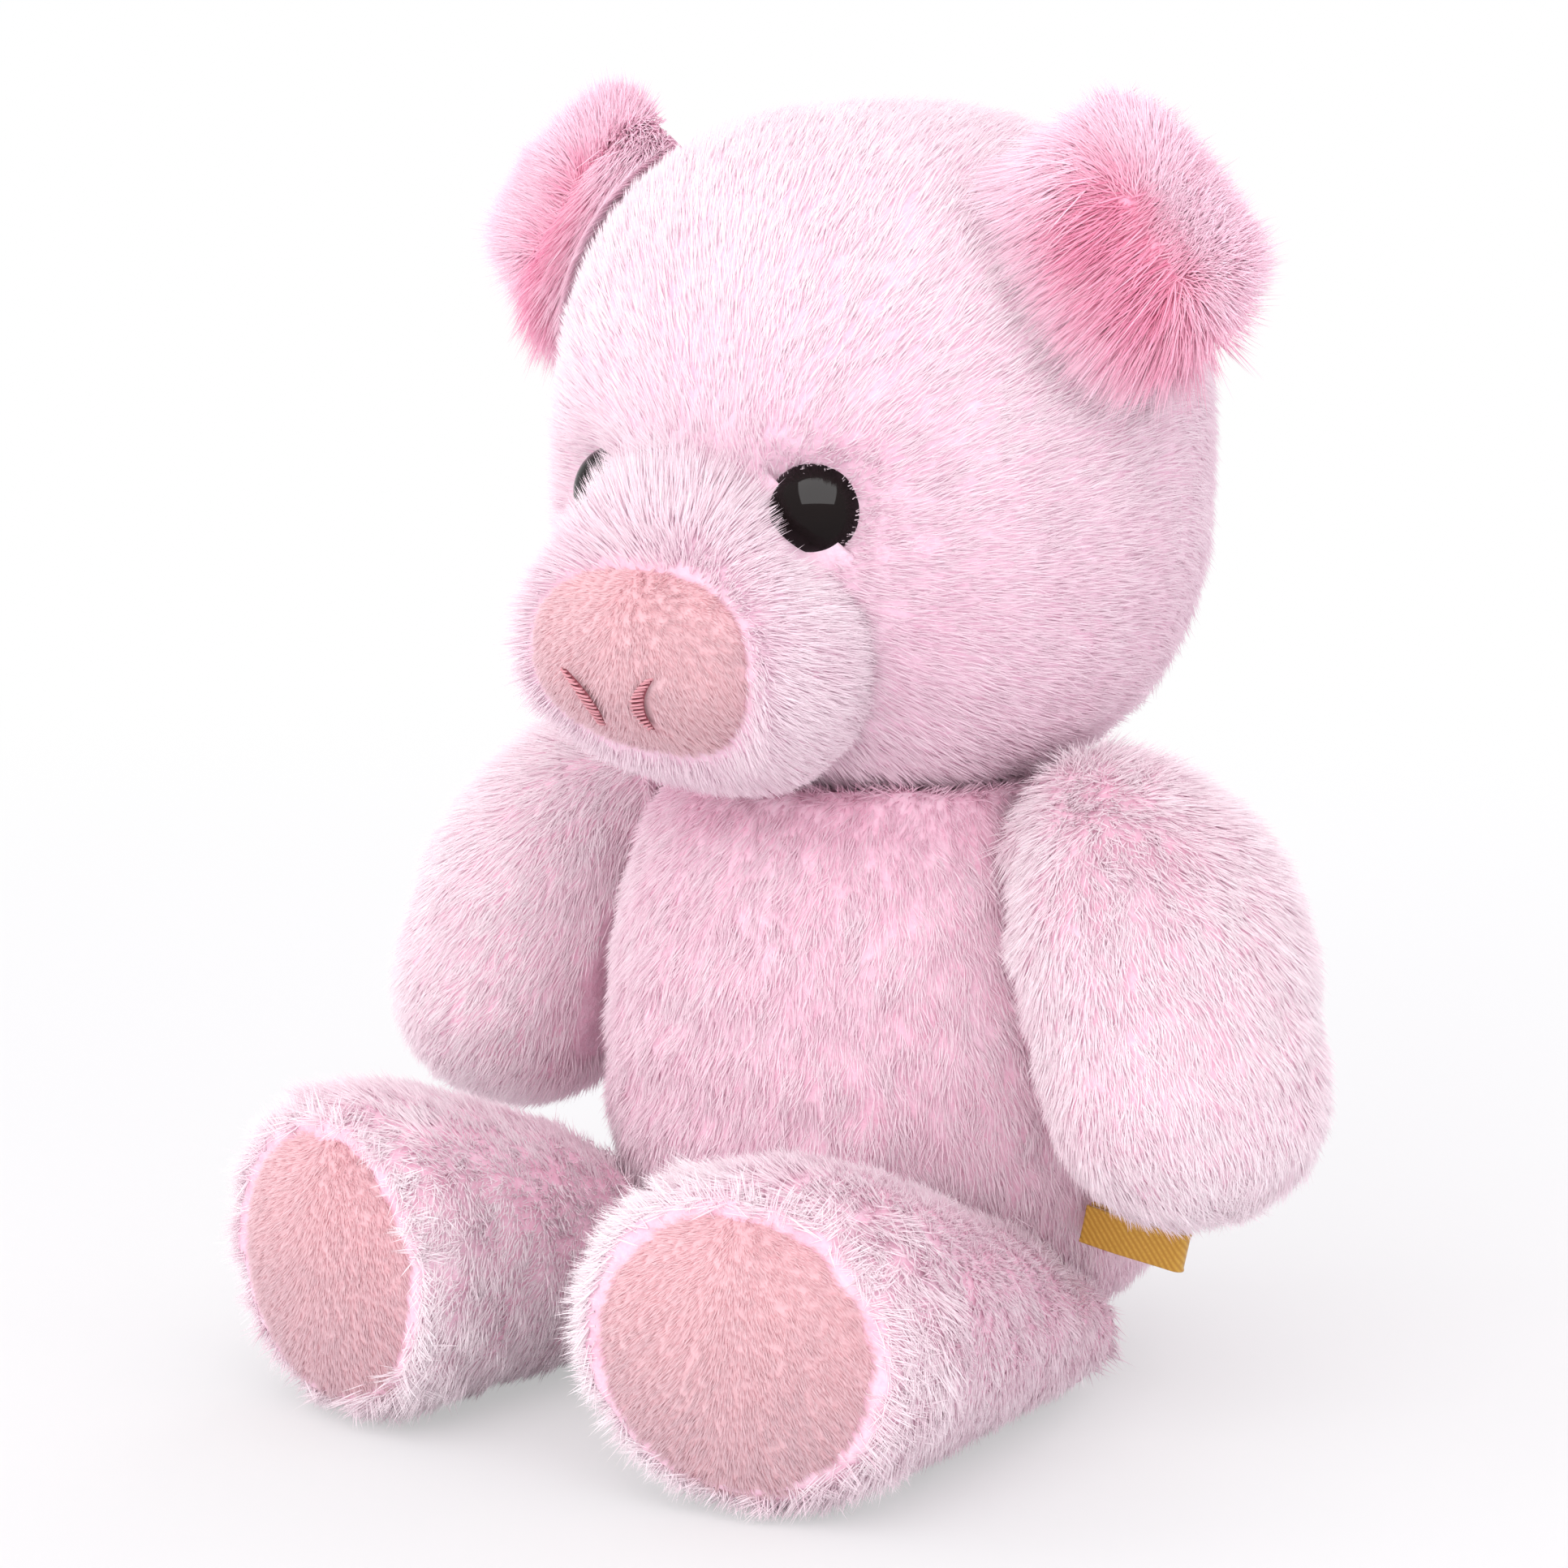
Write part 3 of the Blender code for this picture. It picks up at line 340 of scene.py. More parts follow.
def head_grid(depth, rows=90):
    """The head as a turned superellipse: radius and height are the curve's two coordinates, less the
    depth."""
    across, along = super_ring(np.linspace(math.pi / 2, -math.pi / 2, rows + 2)[1:-1], HEAD_POWER)
    radius, height = across * (HEAD_RADIUS - depth), along * (HEAD_HALF_HEIGHT - depth)
    a = round_angles(SIDES)
    flat = np.stack([np.cos(a), -np.sin(a), 0 * a], axis=-1)
    return HEAD_CENTRE + radius[:, None, None] * flat + height[:, None, None] * Z


def head_level(points, depth=0.0):
    """Level of the head's form at points: below 1 inside it, 1 on it, above 1 outside."""
    local = points - HEAD_CENTRE
    flat = np.hypot(local[..., 0], local[..., 1]) / (HEAD_RADIUS - depth)
    return (flat ** HEAD_POWER
            + (np.abs(local[..., 2]) / (HEAD_HALF_HEIGHT - depth)) ** HEAD_POWER) ** (1 / HEAD_POWER)


def outside_head(points, gap, depth=0.0):
    """Points inside the head's form are moved out from its centre to its face, plus a gap."""
    level = head_level(points, depth)[..., None]
    local = points - HEAD_CENTRE
    far = np.linalg.norm(local, axis=-1, keepdims=True)
    moved = HEAD_CENTRE + local / level * (1 + gap * level / far)
    return np.where(level < 1 + gap / (HEAD_RADIUS - depth), moved, points)


EYE_SIDE, EYE_DROP, EYE_SINK = 22.4 * MM, 4.0 * MM, 3.8 * MM


def eye_seat(side):
    """Where an eye's axis meets the head's face, and the level direction that the eye looks in."""
    level = super_ring(np.array([-math.asin(EYE_DROP / HEAD_RADIUS)]), HEAD_POWER)[0][0] * HEAD_RADIUS
    outward = np.array([side * EYE_SIDE, -math.sqrt(level ** 2 - EYE_SIDE ** 2), 0.0]) / level
    return HEAD_CENTRE + outward * level - EYE_DROP * Z, outward


EYES = [eye_seat(side)[0] for side in (1, -1)]
head_shell = soften(head_grid(0.9 * MM), 0.45 * MM, 11 * MM, 301)
above = rise((head_shell[..., 2:] - HEAD_CENTRE[2]) / HEAD_HALF_HEIGHT)
head_shell = head_shell + 1.6 * MM * above * Z
for side in (1, -1):
    seat, outward = eye_seat(side)
    hollow = np.exp(-(np.linalg.norm(head_shell - seat, axis=-1, keepdims=True) / (9.5 * MM)) ** 4)
    head_shell = head_shell - EYE_SINK * hollow * outward
print("head backing rows", len(head_shell))

# %% Torso form
TORSO_RADIUS, BELLY_HEIGHT, TOP_REACH, RIM_HEIGHT = 51.5 * MM, 46.5 * MM, 73.0 * MM, 101.5 * MM
SHOULDER_TILT = math.radians(19)


def shoulder(side):
    """The middle of a shoulder seam and the outward normal of its plane."""
    return (np.array([side * 36.5, -10.0, 88.8]) * MM,
            np.array([side * math.cos(SHOULDER_TILT), 0, math.sin(SHOULDER_TILT)]))


def torso_radius(height, depth):
    """Two quarter superellipses: a full one below the belly's height and a taller one above it."""
    low = height < BELLY_HEIGHT
    reach = np.where(low, BELLY_HEIGHT + 0.5 * MM, TOP_REACH) - depth
    power = np.where(low, 2.25, 1.9)
    share = np.clip(np.abs(height - BELLY_HEIGHT) / reach, 0, 1)
    return (TORSO_RADIUS - depth) * (1 - share ** power) ** (1 / power)


def torso_shift(height):
    """The torso's axis leans forward from the belly to the neck by a smooth step."""
    return HEAD_CENTRE[1] * rise((height - BELLY_HEIGHT) / (RIM_HEIGHT - BELLY_HEIGHT))


def torso_grid(depth):
    """Rows from the bottom up to the rim and on along the head's underside, pressed behind both shoulders."""
    turn = np.linspace(math.pi / 2, 0, 26)
    low = BELLY_HEIGHT - (BELLY_HEIGHT - depth) * np.sin(turn)
    high = np.linspace(BELLY_HEIGHT, RIM_HEIGHT - 1.2 * depth, 40)[1:]
    height = np.concatenate([low, high])
    radius, shift = torso_radius(height, depth), torso_shift(height)
    inward = np.linspace(1, 0.12, 14)[1:] * radius[-1]
    under = (HEAD_CENTRE[2] - (HEAD_HALF_HEIGHT + 0.4 * depth)
             * (1 - (inward / (HEAD_RADIUS + 0.4 * depth)) ** HEAD_POWER) ** (1 / HEAD_POWER))
    under = np.minimum(under, height[-1])
    height, radius = np.concatenate([height, under]), np.concatenate([radius, inward])
    shift = np.concatenate([shift, np.full(len(under), HEAD_CENTRE[1])])
    a = round_angles(SIDES)
    flat = np.stack([np.cos(a), -np.sin(a), 0 * a], axis=-1)
    grid = radius[:, None, None] * flat + height[:, None, None] * Z + shift[:, None, None] * Y
    for side in (1, -1):
        seam, normal = shoulder(side)
        beyond = np.maximum((grid - seam) @ normal + depth, 0)
        grid = grid - beyond[..., None] * normal
    return grid


torso_shell = soften(torso_grid(PILE_DEPTH), 0.6 * MM, 9 * MM, 302)
print("torso backing rows", len(torso_shell))

# %% Muzzle form
NOSE_CENTRE = HEAD_CENTRE + np.array([0, -62.5, -26.5]) * MM
MUZZLE_BACK = HEAD_CENTRE + np.array([0, -28.5, -19.5]) * MM
NOSE_SIZES, NOSE_TOP = np.array([21.5, 16.0]) * MM, 0.86
MUZZLE_SIZES = np.array([28.8, 26.5]) * MM
MUZZLE_POWER = 2.3


def tuck(points):
    """The snout turns under: below the nose's middle it moves back by 10 mm * fall^1.8 * front, where fall
    grows to 1 at the chin and front from 0 at the muzzle's back to 1 at the nose."""
    fall = np.clip((NOSE_CENTRE[2] - 2 * MM - points[..., 2]) / (17 * MM), 0, 1.2)
    front = np.clip((MUZZLE_BACK[1] - points[..., 1]) / (MUZZLE_BACK[1] - NOSE_CENTRE[1]), 0, 1)
    return points + (10 * MM * fall ** 1.8 * front)[..., None] * Y


def muzzle_grid(depth, rows=44):
    """Ovals that are full behind and round in to the nose: size = front + (back - front) * sqrt(1 - share^3),
    fuller by a sine in the middle. Their upper half narrows towards the top, by a half behind, where the
    muzzle runs up between the eyes, and less in front of the eyes, where it bulges like a ball."""
    share = 1 - (1 - np.linspace(0, 1, rows)) ** 1.6
    front, back = NOSE_SIZES + 2.7 * MM - 0.35 * depth, MUZZLE_SIZES - depth
    sizes = ((front + (back - front) * np.sqrt(1 - share ** 3)[:, None])
             * (1 + 0.08 * np.sin(math.pi * share ** 1.5))[:, None])
    middle = MUZZLE_BACK + (NOSE_CENTRE - MUZZLE_BACK) * share[:, None]
    middle[:, 1] += 0.5 * depth * share
    x, z = super_ring(round_angles(SIDES), MUZZLE_POWER)
    narrow = 1 - 0.5 * (1 - 0.8 * share ** 2)[:, None, None] * rise(z)[:, None]
    grid = (middle[:, None] + sizes[:, :1, None] * x[:, None] * narrow * X
            + sizes[:, 1:, None] * z[:, None] * Z)
    inner = np.linspace(0.9, 0.3, 4)[:, None, None]
    closing = grid[-1].mean(0) + (grid[-1] - grid[-1].mean(0)) * inner
    return outside_head(tuck(np.concatenate([grid, closing])), 0.3 * MM, PILE_DEPTH)


def muzzle_level(points):
    """Level of points against the muzzle's largest oval, seen from the front: below 1 inside it."""
    x, z = points[..., 0] / MUZZLE_SIZES[0], (points[..., 2] - MUZZLE_BACK[2]) / MUZZLE_SIZES[1]
    x = x / (1 - 0.5 * rise(z))
    return (np.abs(x) ** MUZZLE_POWER + np.abs(z) ** MUZZLE_POWER) ** (1 / MUZZLE_POWER)


muzzle_shell = soften(muzzle_grid(PILE_DEPTH), 0.35 * MM, 9 * MM, 303)
print("muzzle backing rows", len(muzzle_shell))

# %% Arm form
ARM_REACH = np.array([40.5, -13.5, -53.0]) * MM
# share of the reach sideways, forward and down, then of the half width and half depth
ARM_STATIONS = np.array([
    (0.00, 0.00, 0.00, 0.71, 0.64),
    (0.20, 0.06, 0.04, 0.80, 0.73),
    (0.42, 0.22, 0.15, 0.93, 0.90),
    (0.62, 0.48, 0.36, 1.00, 0.99),
    (0.80, 0.75, 0.62, 1.00, 1.00),
])


def arm_grid(side, depth):
    """Ovals square to a curved middle line, then a half ball for the hand; near the seam they stay
    outside its plane."""
    seam, normal = shoulder(side)
    stations = smooth_rows(ARM_STATIONS, 8)
    centres = seam + stations[:, :3] * ARM_REACH * (side, 1, 1)
    along = np.gradient(centres, axis=0)
    along /= np.linalg.norm(along, axis=1, keepdims=True)
    across = np.cross(along, -Y)
    across /= np.linalg.norm(across, axis=1, keepdims=True)
    level = np.cross(across, along)
    sizes = stations[:, 3:] * np.array([22.0, 24.5]) * MM - depth
    turn = np.linspace(0, math.pi / 2, 14)[1:-1]
    hand = centres[-1] + np.sin(turn)[:, None] * sizes[-1, 0] * along[-1]
    centres, sizes = (np.concatenate([centres, hand]),
                      np.concatenate([sizes, np.cos(turn)[:, None] * sizes[-1]]))
    across = np.concatenate([across, np.repeat(across[-1:], len(turn), 0)])
    level = np.concatenate([level, np.repeat(level[-1:], len(turn), 0)])
    a = round_angles(SIDES)[:, None]
    grid = (centres[:, None] + np.cos(a) * sizes[:, None, :1] * across[:, None]
            + np.sin(a) * sizes[:, None, 1:] * level[:, None])
    short = np.maximum(0.4 * MM - (grid - seam) @ normal, 0)
    return grid + short[..., None] * normal


print("arm rows", len(arm_grid(1, PILE_DEPTH)))

# %% Leg form
FOOT_SIZES = np.array([31.0, 26.5]) * MM
HIP_HEIGHT, FLOOR_SINK = BELLY_HEIGHT, 0.5 * MM
# share of the leg's length, of the foot's half sizes, and of the foot's middle height
LEG_STATIONS = np.array([
    (0.00, 0.38, 0.38), (0.10, 0.48, 0.48), (0.25, 0.61, 0.61), (0.42, 0.73, 0.73), (0.60, 0.86, 0.86),
    (0.75, 0.96, 0.96), (0.86, 1.00, 1.00), (0.95, 0.975, 1.00), (1.00, 0.90, 1.00),
])


def leg_frame(side, share):
    """Place on the floor under the leg's middle, with its across and forward directions, at a share of
    its length."""
    share = np.atleast_1d(share)
    turn = math.atan2(5.3, 92.5) + math.radians(9) * share
    place = np.stack([side * (36 + 5.3 * share), -5 - 92.5 * share, 0 * share], axis=-1) * MM
    across = np.stack([np.cos(turn), side * np.sin(turn), 0 * turn], axis=-1)
    forward = np.stack([side * np.sin(turn), -np.cos(turn), 0 * turn], axis=-1)
    return place, across, forward


def leg_grid(side, depth):
    """Ovals that rest on the floor and grow towards the foot; where they lie inside the torso's sweep,
    the caller moves them out from the hip."""
    stations = smooth_rows(LEG_STATIONS, 8)
    place, across, _ = leg_frame(side, stations[:, 0])
    size = stations[:, 1:2]
    centre = place + (stations[:, 2:] * FOOT_SIZES[1] - FLOOR_SINK) * Z
    a = round_angles(SIDES)[:, None]
    wide, high = size * FOOT_SIZES[0] - depth, size * FOOT_SIZES[1] - depth
    grid = centre[:, None] + np.cos(a) * wide[:, None] * across[:, None] + np.sin(a) * high[:, None] * Z
    grid[..., 2] = np.maximum(grid[..., 2], 0.35 * depth)
    closing = grid[-1].mean(0) + (grid[-1] - grid[-1].mean(0)) * np.linspace(0.96, 0.3, 5)[:, None, None]
    return np.concatenate([grid, closing])


def hip_reach(x):
    """The farthest torso point from the hip axis in each slice across the pig, as a smooth table."""
    height = np.linspace(0, HIP_HEIGHT + 6 * MM, 80)[:, None]
    slices = np.linspace(0, TORSO_RADIUS, 60)
    radius = torso_radius(height, 0.0)
    front = np.sqrt(np.maximum(radius ** 2 - slices ** 2, 0)) - torso_shift(height)
    far = np.where(radius > slices, np.hypot(front, height - HIP_HEIGHT), 0).max(0) + 0.8 * MM
    far = np.where(slices < 40 * MM, np.maximum(far, HIP_HEIGHT + 0.8 * MM), far)
    return np.interp(np.abs(x), slices, far, right=0.0)


def outside_hip(points, ease):
    """Points nearer to the hip axis than the torso's sweep are moved straight out from that axis; also
    says which."""
    reach = hip_reach(points[..., 0]) - ease
    y, z = points[..., 1], points[..., 2] - HIP_HEIGHT
    far = np.hypot(y, z)
    inside = far < reach
    scale = np.where(inside, reach / np.maximum(far, 1e-6), 1.0)
    moved = points.copy()
    moved[..., 1], moved[..., 2] = y * scale, np.maximum(z * scale + HIP_HEIGHT, 0.6 * MM)
    return moved, inside


print("torso sweeps", round(1000 * float(hip_reach(np.array([0.0]))[0]), 1), "mm in front of the hip")

# %% Ear form
EAR_SIZES = np.array([46.0, 28.0]) * MM
EAR_OUTLINE = np.array([(0.28, 0.00), (0.52, 0.10), (0.63, 0.38), (0.55, 0.88), (0.11, 0.93), (-0.32, 0.70),
                        (-0.38, 0.24), (-0.28, 0.00)])
EAR_MIDDLE = np.array([0.12, 0.45]) * EAR_SIZES


def ear_frame(side):
    """The root's middle, and the directions along the root and away from the head."""
    def at(angle):
        return (np.array([part[0] for part in super_ring(np.array([angle]), HEAD_POWER)])
                * (HEAD_RADIUS, HEAD_HALF_HEIGHT))
    radius, height = at(math.radians(40))
    slope = unit(at(math.radians(39)) - (radius, height))
    root = HEAD_CENTRE + np.array([side * math.sqrt(radius ** 2 - (5 * MM) ** 2), -5 * MM, height])
    along, out = np.array([side * slope[0], 0, slope[1]]), np.array([-side * slope[1], 0, slope[0]])
    return root + 0.4 * MM * out, along, out


def ear_grid(side, face, shrink, thick):
    """From the middle to the outline of one leaf: the lift over the ear's plane is thick * sqrt(1 - share^5),
    and in front a cushion of dense fibres by the root comes on top."""
    root, along, out = ear_frame(side)
    outline = smooth_rows(EAR_OUTLINE, 8)[:-1]
    closing = (EAR_OUTLINE[-1] + (EAR_OUTLINE[0] - EAR_OUTLINE[-1])
               * np.linspace(0, 1, 14, endpoint=False)[:, None])
    outline = np.concatenate([outline, closing]) * EAR_SIZES
    outline[:, 1] = np.maximum(outline[:, 1], 0)
    middle = EAR_MIDDLE * (1.0, 0.8)
    share = np.linspace(0.05, 1, 18)
    flat = middle + (outline - middle) * (shrink * share)[:, None, None]
    cushion = 6.5 * MM * rise((16 * MM - flat[..., 1]) / (12 * MM)) if face > 0 else 0 * flat[..., 1]
    lift = (thick + cushion) * np.sqrt(np.maximum(1 - share ** 5, 0))[:, None] + 0.3 * MM
    lean = 4 * MM * (flat[..., 1] / EAR_SIZES[1]) ** 2
    flat[..., 1] -= 3.5 * MM * rise((8 * MM - flat[..., 1]) / (8 * MM))
    grid = root + flat[..., :1] * along + flat[..., 1:] * out
    return outside_head(grid - (lean + face * lift)[..., None] * Y, 0.5 * MM, PILE_DEPTH)


print("ear outline has", len(EAR_OUTLINE), "points")

# %% [markdown]
# ## Pile
# Plush is knitted with fibres that stand up from a backing and are then brushed one way. They gather
# in small locks, and the roots are deeper in colour than the bleached tips; that depth is partly the
# fibre's own and partly painted shade of the pile below the tips. Each lock here is a few strands that
# start round one root and lean to one tip. A strand is a slim three-sided spike of only four faces, so
# that the whole pig stays light enough to render and export.
# Its UV place says two things to the material: its own tone across, and how near the tip it is, up.

# %% Roots on a surface
def scatter(grid, count, rng):
    """Roots by area: each quad is drawn as often as its area says, and the place in it by two random
    shares."""
    grid = np.concatenate([np.broadcast_to(grid[0].mean(0), (1, *grid.shape[1:])), grid,
                           np.broadcast_to(grid[-1].mean(0), (1, *grid.shape[1:]))])
    normal = outward_normals(grid)
    a, b = grid[:-1], grid[1:]
    area = 0.5 * np.linalg.norm(np.cross(np.roll(b, -1, 1) - a, b - np.roll(a, -1, 1)), axis=-1)
    total = np.cumsum(area.ravel())
    drawn = np.searchsorted(total, (np.arange(count) + rng.random(count)) / count * total[-1])
    row, column = np.unravel_index(np.minimum(drawn, area.size - 1), area.shape)
    after, s, t = (column + 1) % grid.shape[1], rng.random((count, 1)), rng.random((count, 1))
    mixed = [(field[row, column] * (1 - s) + field[row, after] * s) * (1 - t)
             + (field[row + 1, column] * (1 - s) + field[row + 1, after] * s) * t for field in (grid, normal)]
    mixed[1] /= np.maximum(np.linalg.norm(mixed[1], axis=-1, keepdims=True), 1e-12)
    return mixed[0], mixed[1], total[-1]


print("root tools ready")


# %% Strands from roots
def spikes(roots, tips, widths, normals, tone, rng):
    """Three-sided spikes from a ring round each root to its tip. A corner faces outwards from the
    strand's axis and a little along the surface's normal, so that a strand shades as a round fibre from
    every side. A corner's UV place is the strand's tone across, and 0.02 at the root or 0.98 at the
    tip, up."""
    count = len(roots)
    along = unit(tips - roots)
    side = unit(np.cross(along, normals) + 1e-6)
    other = np.cross(along, side)
    spin = rng.uniform(0, 2 * math.pi, count)[:, None] + np.arange(3) * (2 * math.pi / 3)
    ring = np.cos(spin)[..., None] * side[:, None] + np.sin(spin)[..., None] * other[:, None]
    points = np.concatenate([roots[:, None] + ring * (0.58 * widths)[:, None, None], tips[:, None]], axis=1)
    facing = np.concatenate([unit(0.45 * normals[:, None] + ring),
                             unit(0.45 * normals[:, None] + ring + np.roll(ring, -1, axis=1))], axis=1)
    # the corners' UV places differ by a hair, because a face needs some area there
    across = tone[:, None] + np.array([-0.004, 0.004, 0.0])
    up = np.broadcast_to(0.02 + np.array([0.0, 0.006, 0.012]), (count, 3))
    uv = np.concatenate([np.stack([across, up], axis=-1),
                         np.stack([tone, np.full(count, 0.98)], axis=-1)[:, None]], 1)
    # one base triangle and three sides; a side takes the tip's facing from the place 3 + k of its own
    faces = np.array([(0, 2, 1), (0, 1, 3), (1, 2, 4), (2, 0, 5)])
    corners = (np.arange(count)[:, None, None] * 4 + np.minimum(faces, 3)).reshape(-1)
    return points.reshape(-1, 3), corners, uv.reshape(-1, 2), facing[:, faces.ravel()].reshape(-1, 3)


# strands in one lock, how far they start from its root, a strand's width, and the room under the lowest
STRANDS, SPREAD, STRAND_WIDTH, FLOOR_GAP = 5, 0.9 * MM, 0.28 * MM, 0.4 * MM


def amount(value, points):
    """A number as it is, or what a function of the points gives."""
    return value(points) if callable(value) else np.full(len(points), float(value))


def grow(name, grid, locks, each, spread, length, lift, width, flow, tone, material, body, seed,
         keep=None, pull=0.3, wobble=0.12, sink=0.6 * MM, clear=None, facing=None):
    """Locks of strands on a grid, each some strands that start within the spread of one root. A strand leans
    from the normal to the flow by the lift angle in degrees, and its tip is drawn towards its lock's tip by
    the pull. clear is a function that keeps tips outside a neighbour, and facing turns the normals."""
    rng = np.random.default_rng(seed)
    root, normal, area = scatter(grid, locks, rng)
    if keep is not None:
        kept = keep(root, normal)
        root, normal = root[kept], normal[kept]
    if facing is not None:
        normal = unit(normal + facing)
    brushed = flow(root, normal) + wobble * rng.normal(size=root.shape)
    brushed = unit(brushed - np.einsum("ij,ij->i", brushed, normal)[:, None] * normal)
    many = lambda values: np.repeat(values, each, axis=0)
    reach = amount(length, root) * rng.uniform(0.88, 1.12, len(root))
    angle = np.radians(amount(lift, root) + rng.normal(0, 3, len(root)))
    shade = amount(tone, root) + rng.normal(0, 0.07, len(root))
    c, n, f, angle, reach, shade = map(many, (root, normal, brushed, angle, reach, shade))
    side = np.cross(n, f)
    total = len(c)
    offset = rng.normal(0, spread, (total, 2))
    start = c + f * offset[:, :1] + side * offset[:, 1:] - n * sink
    own = reach * rng.uniform(0.75, 1.05, total)
    tilt = (angle + rng.normal(0, 0.07, total))[:, None]
    aside = rng.normal(0, 0.12, (total, 1))
    lean = unit(n * np.sin(tilt) + (f * np.cos(aside) + side * np.sin(aside)) * np.cos(tilt))
    tip = start + lean * own[:, None]
    both = n * np.sin(angle)[:, None] + f * np.cos(angle)[:, None] + n * np.sin(tilt) + f * np.cos(tilt)
    lock_tip = c + both * 0.45 * reach[:, None]
    tip += (pull * (lock_tip + 0.35 * (f * offset[:, :1] + side * offset[:, 1:]) - tip)
            * rng.uniform(0.5, 1, (total, 1)))
    tip = tip if clear is None else clear(tip)
    # no strand goes below the floor's gap: heights are drawn for root, middle and tip, and a straight
    # strand needs only the first and the last
    lowest = FLOOR_GAP + rng.uniform(0, 0.3 * MM, (3, total))
    start[:, 2], tip[:, 2] = np.maximum(start[:, 2], lowest[0]), np.maximum(tip[:, 2], lowest[2])
    shade = np.clip(shade + rng.normal(0, 0.06, total), 0.02, 0.98)
    points, corners, uv, shading = spikes(start, tip, width * rng.uniform(0.75, 1.2, total), n, shade, rng)
    mesh = fill_mesh(name, points, corners, np.full(len(corners) // 3, 3), uv)
    mesh.normals_split_custom_set(shading)
    piece = add_object(name, mesh, material, body)
    print(f"{name}: {total} strands, {len(mesh.polygons)} faces, {total / (area * 1e6):.1f} per square mm")
    return piece


print("strand tools ready")

# %% [markdown]
# ## Fibre materials
# The pile is modacrylic-like polyester fibre, heat-set and brushed: matt along the length, with a
# pale tip, which is painted light where light passes through it, and a deeper root, partly dyed so
# and partly painted shade of the pile's depth. All of its colour comes from the strand's own UV
# place, so the same map serves thousands of strands. The knitted backing below it is deeper still,
# and shows only where the pile parts.

# %% Pile and backing materials
def pile_material(name, root_dark, root_light, tip_dark, tip_light, low=0.05, high=0.75):
    """Brushed polyester pile: root and tip colours by the strand's tone, mixed from root to tip by a
    smooth step."""
    material, tree, shader = new_material(name)
    place = add_node(tree, "ShaderNodeUVMap", uv_map="OFBake")
    parts = add_node(tree, "ShaderNodeSeparateXYZ", {0: place.outputs[0]})
    shades = []
    for dark, light in ((root_dark, root_light), (tip_dark, tip_light)):
        shades.append(add_node(tree, "ShaderNodeMix", {0: parts.outputs[0]},
                               {MIX_A: hex_colour(dark), MIX_B: hex_colour(light)}, data_type="RGBA"))
    step = add_node(tree, "ShaderNodeMapRange", {0: parts.outputs[1]}, {"From Min": low, "From Max": high},
                    interpolation_type="SMOOTHSTEP")
    colour = add_node(tree, "ShaderNodeMix", {0: step.outputs[0], MIX_A: shades[0].outputs[MIX_RESULT],
                                              MIX_B: shades[1].outputs[MIX_RESULT]}, data_type="RGBA")
    tree.links.new(colour.outputs[MIX_RESULT], shader.inputs["Base Color"])
    shader.inputs["Roughness"].default_value = 0.75
    shader.inputs["Specular IOR Level"].default_value = 0.25
    return material


# a tuft of the knit is about 0.4 mm across; it is drawn as coarse as it needs to show
TUFT = 1.1 * MM


def under_pile(name, dark, light):
    """The dense lower fibres as one soft surface: shades drift over tufts and patches, and tufts stand
    up a little."""
    material, tree, shader = new_material(name)
    place = add_node(tree, "ShaderNodeTexCoord")
    drift = add_node(tree, "ShaderNodeTexNoise", {"Vector": place.outputs["Object"]},
                     {"Scale": 1 / (9 * MM), "Detail": 2.0})
    tufts = add_node(tree, "ShaderNodeTexNoise", {"Vector": place.outputs["Object"]},
                     {"Scale": 1 / TUFT, "Detail": 3.0, "Roughness": 0.6})
    both = add_node(tree, "ShaderNodeMath", {0: drift.outputs[0], 1: tufts.outputs[0]}, operation="ADD")
    share = add_node(tree, "ShaderNodeMapRange", {0: both.outputs[0]}, {"From Min": 0.7, "From Max": 1.3})
    colour = add_node(tree, "ShaderNodeMix", {0: share.outputs[0]},
                      {MIX_A: hex_colour(dark), MIX_B: hex_colour(light)}, data_type="RGBA")
    tree.links.new(colour.outputs[MIX_RESULT], shader.inputs["Base Color"])
    bump = add_node(tree, "ShaderNodeBump", {"Height": tufts.outputs[0]},
                    {"Strength": 0.5, "Distance": 0.5 * MM})
    tree.links.new(bump.outputs[0], shader.inputs["Normal"])
    shader.inputs["Roughness"].default_value = 0.95
    shader.inputs["Specular IOR Level"].default_value = 0.1
    return material


# brushed polyester, dyed in two close pinks: a soft matt body with paler, streaky tips; the pale tips
# are partly painted light and the deeper roots partly painted shade
body_pile = pile_material("polyester_pile_brushed_pale_pink", "#E9B3CA", "#F9E4ED", "#F0C8DA", "#FDF4F8")
# the same fibre in a milkier dye, which keeps the face the lightest part of the pig
face_pile = pile_material("polyester_pile_brushed_milk_pink", "#EDC8D9", "#F8E2EC", "#EFD2E0", "#FDF2F7")
# a longer fibre in a strong rose: deep at the parting, where the roots show and painted shade lies,
# nearly white at the tips
ear_pile = pile_material("polyester_pile_long_rose", "#E68BAA", "#FBD3E5", "#F1A0BF", "#FFE9F4")
# velour is sheared to one height, so the eye sees only tips: an even salmon with a faint grain; the
# paler first colours lie on the pads' upper halves and the deeper second ones below, as painted light
# and shade
nap_pile = pile_material("velour_nap_sheared_salmon", "#E5B0B7", "#D0AAB2", "#F8D8DD", "#DFC5CC",
                         low=0.0, high=1.0)
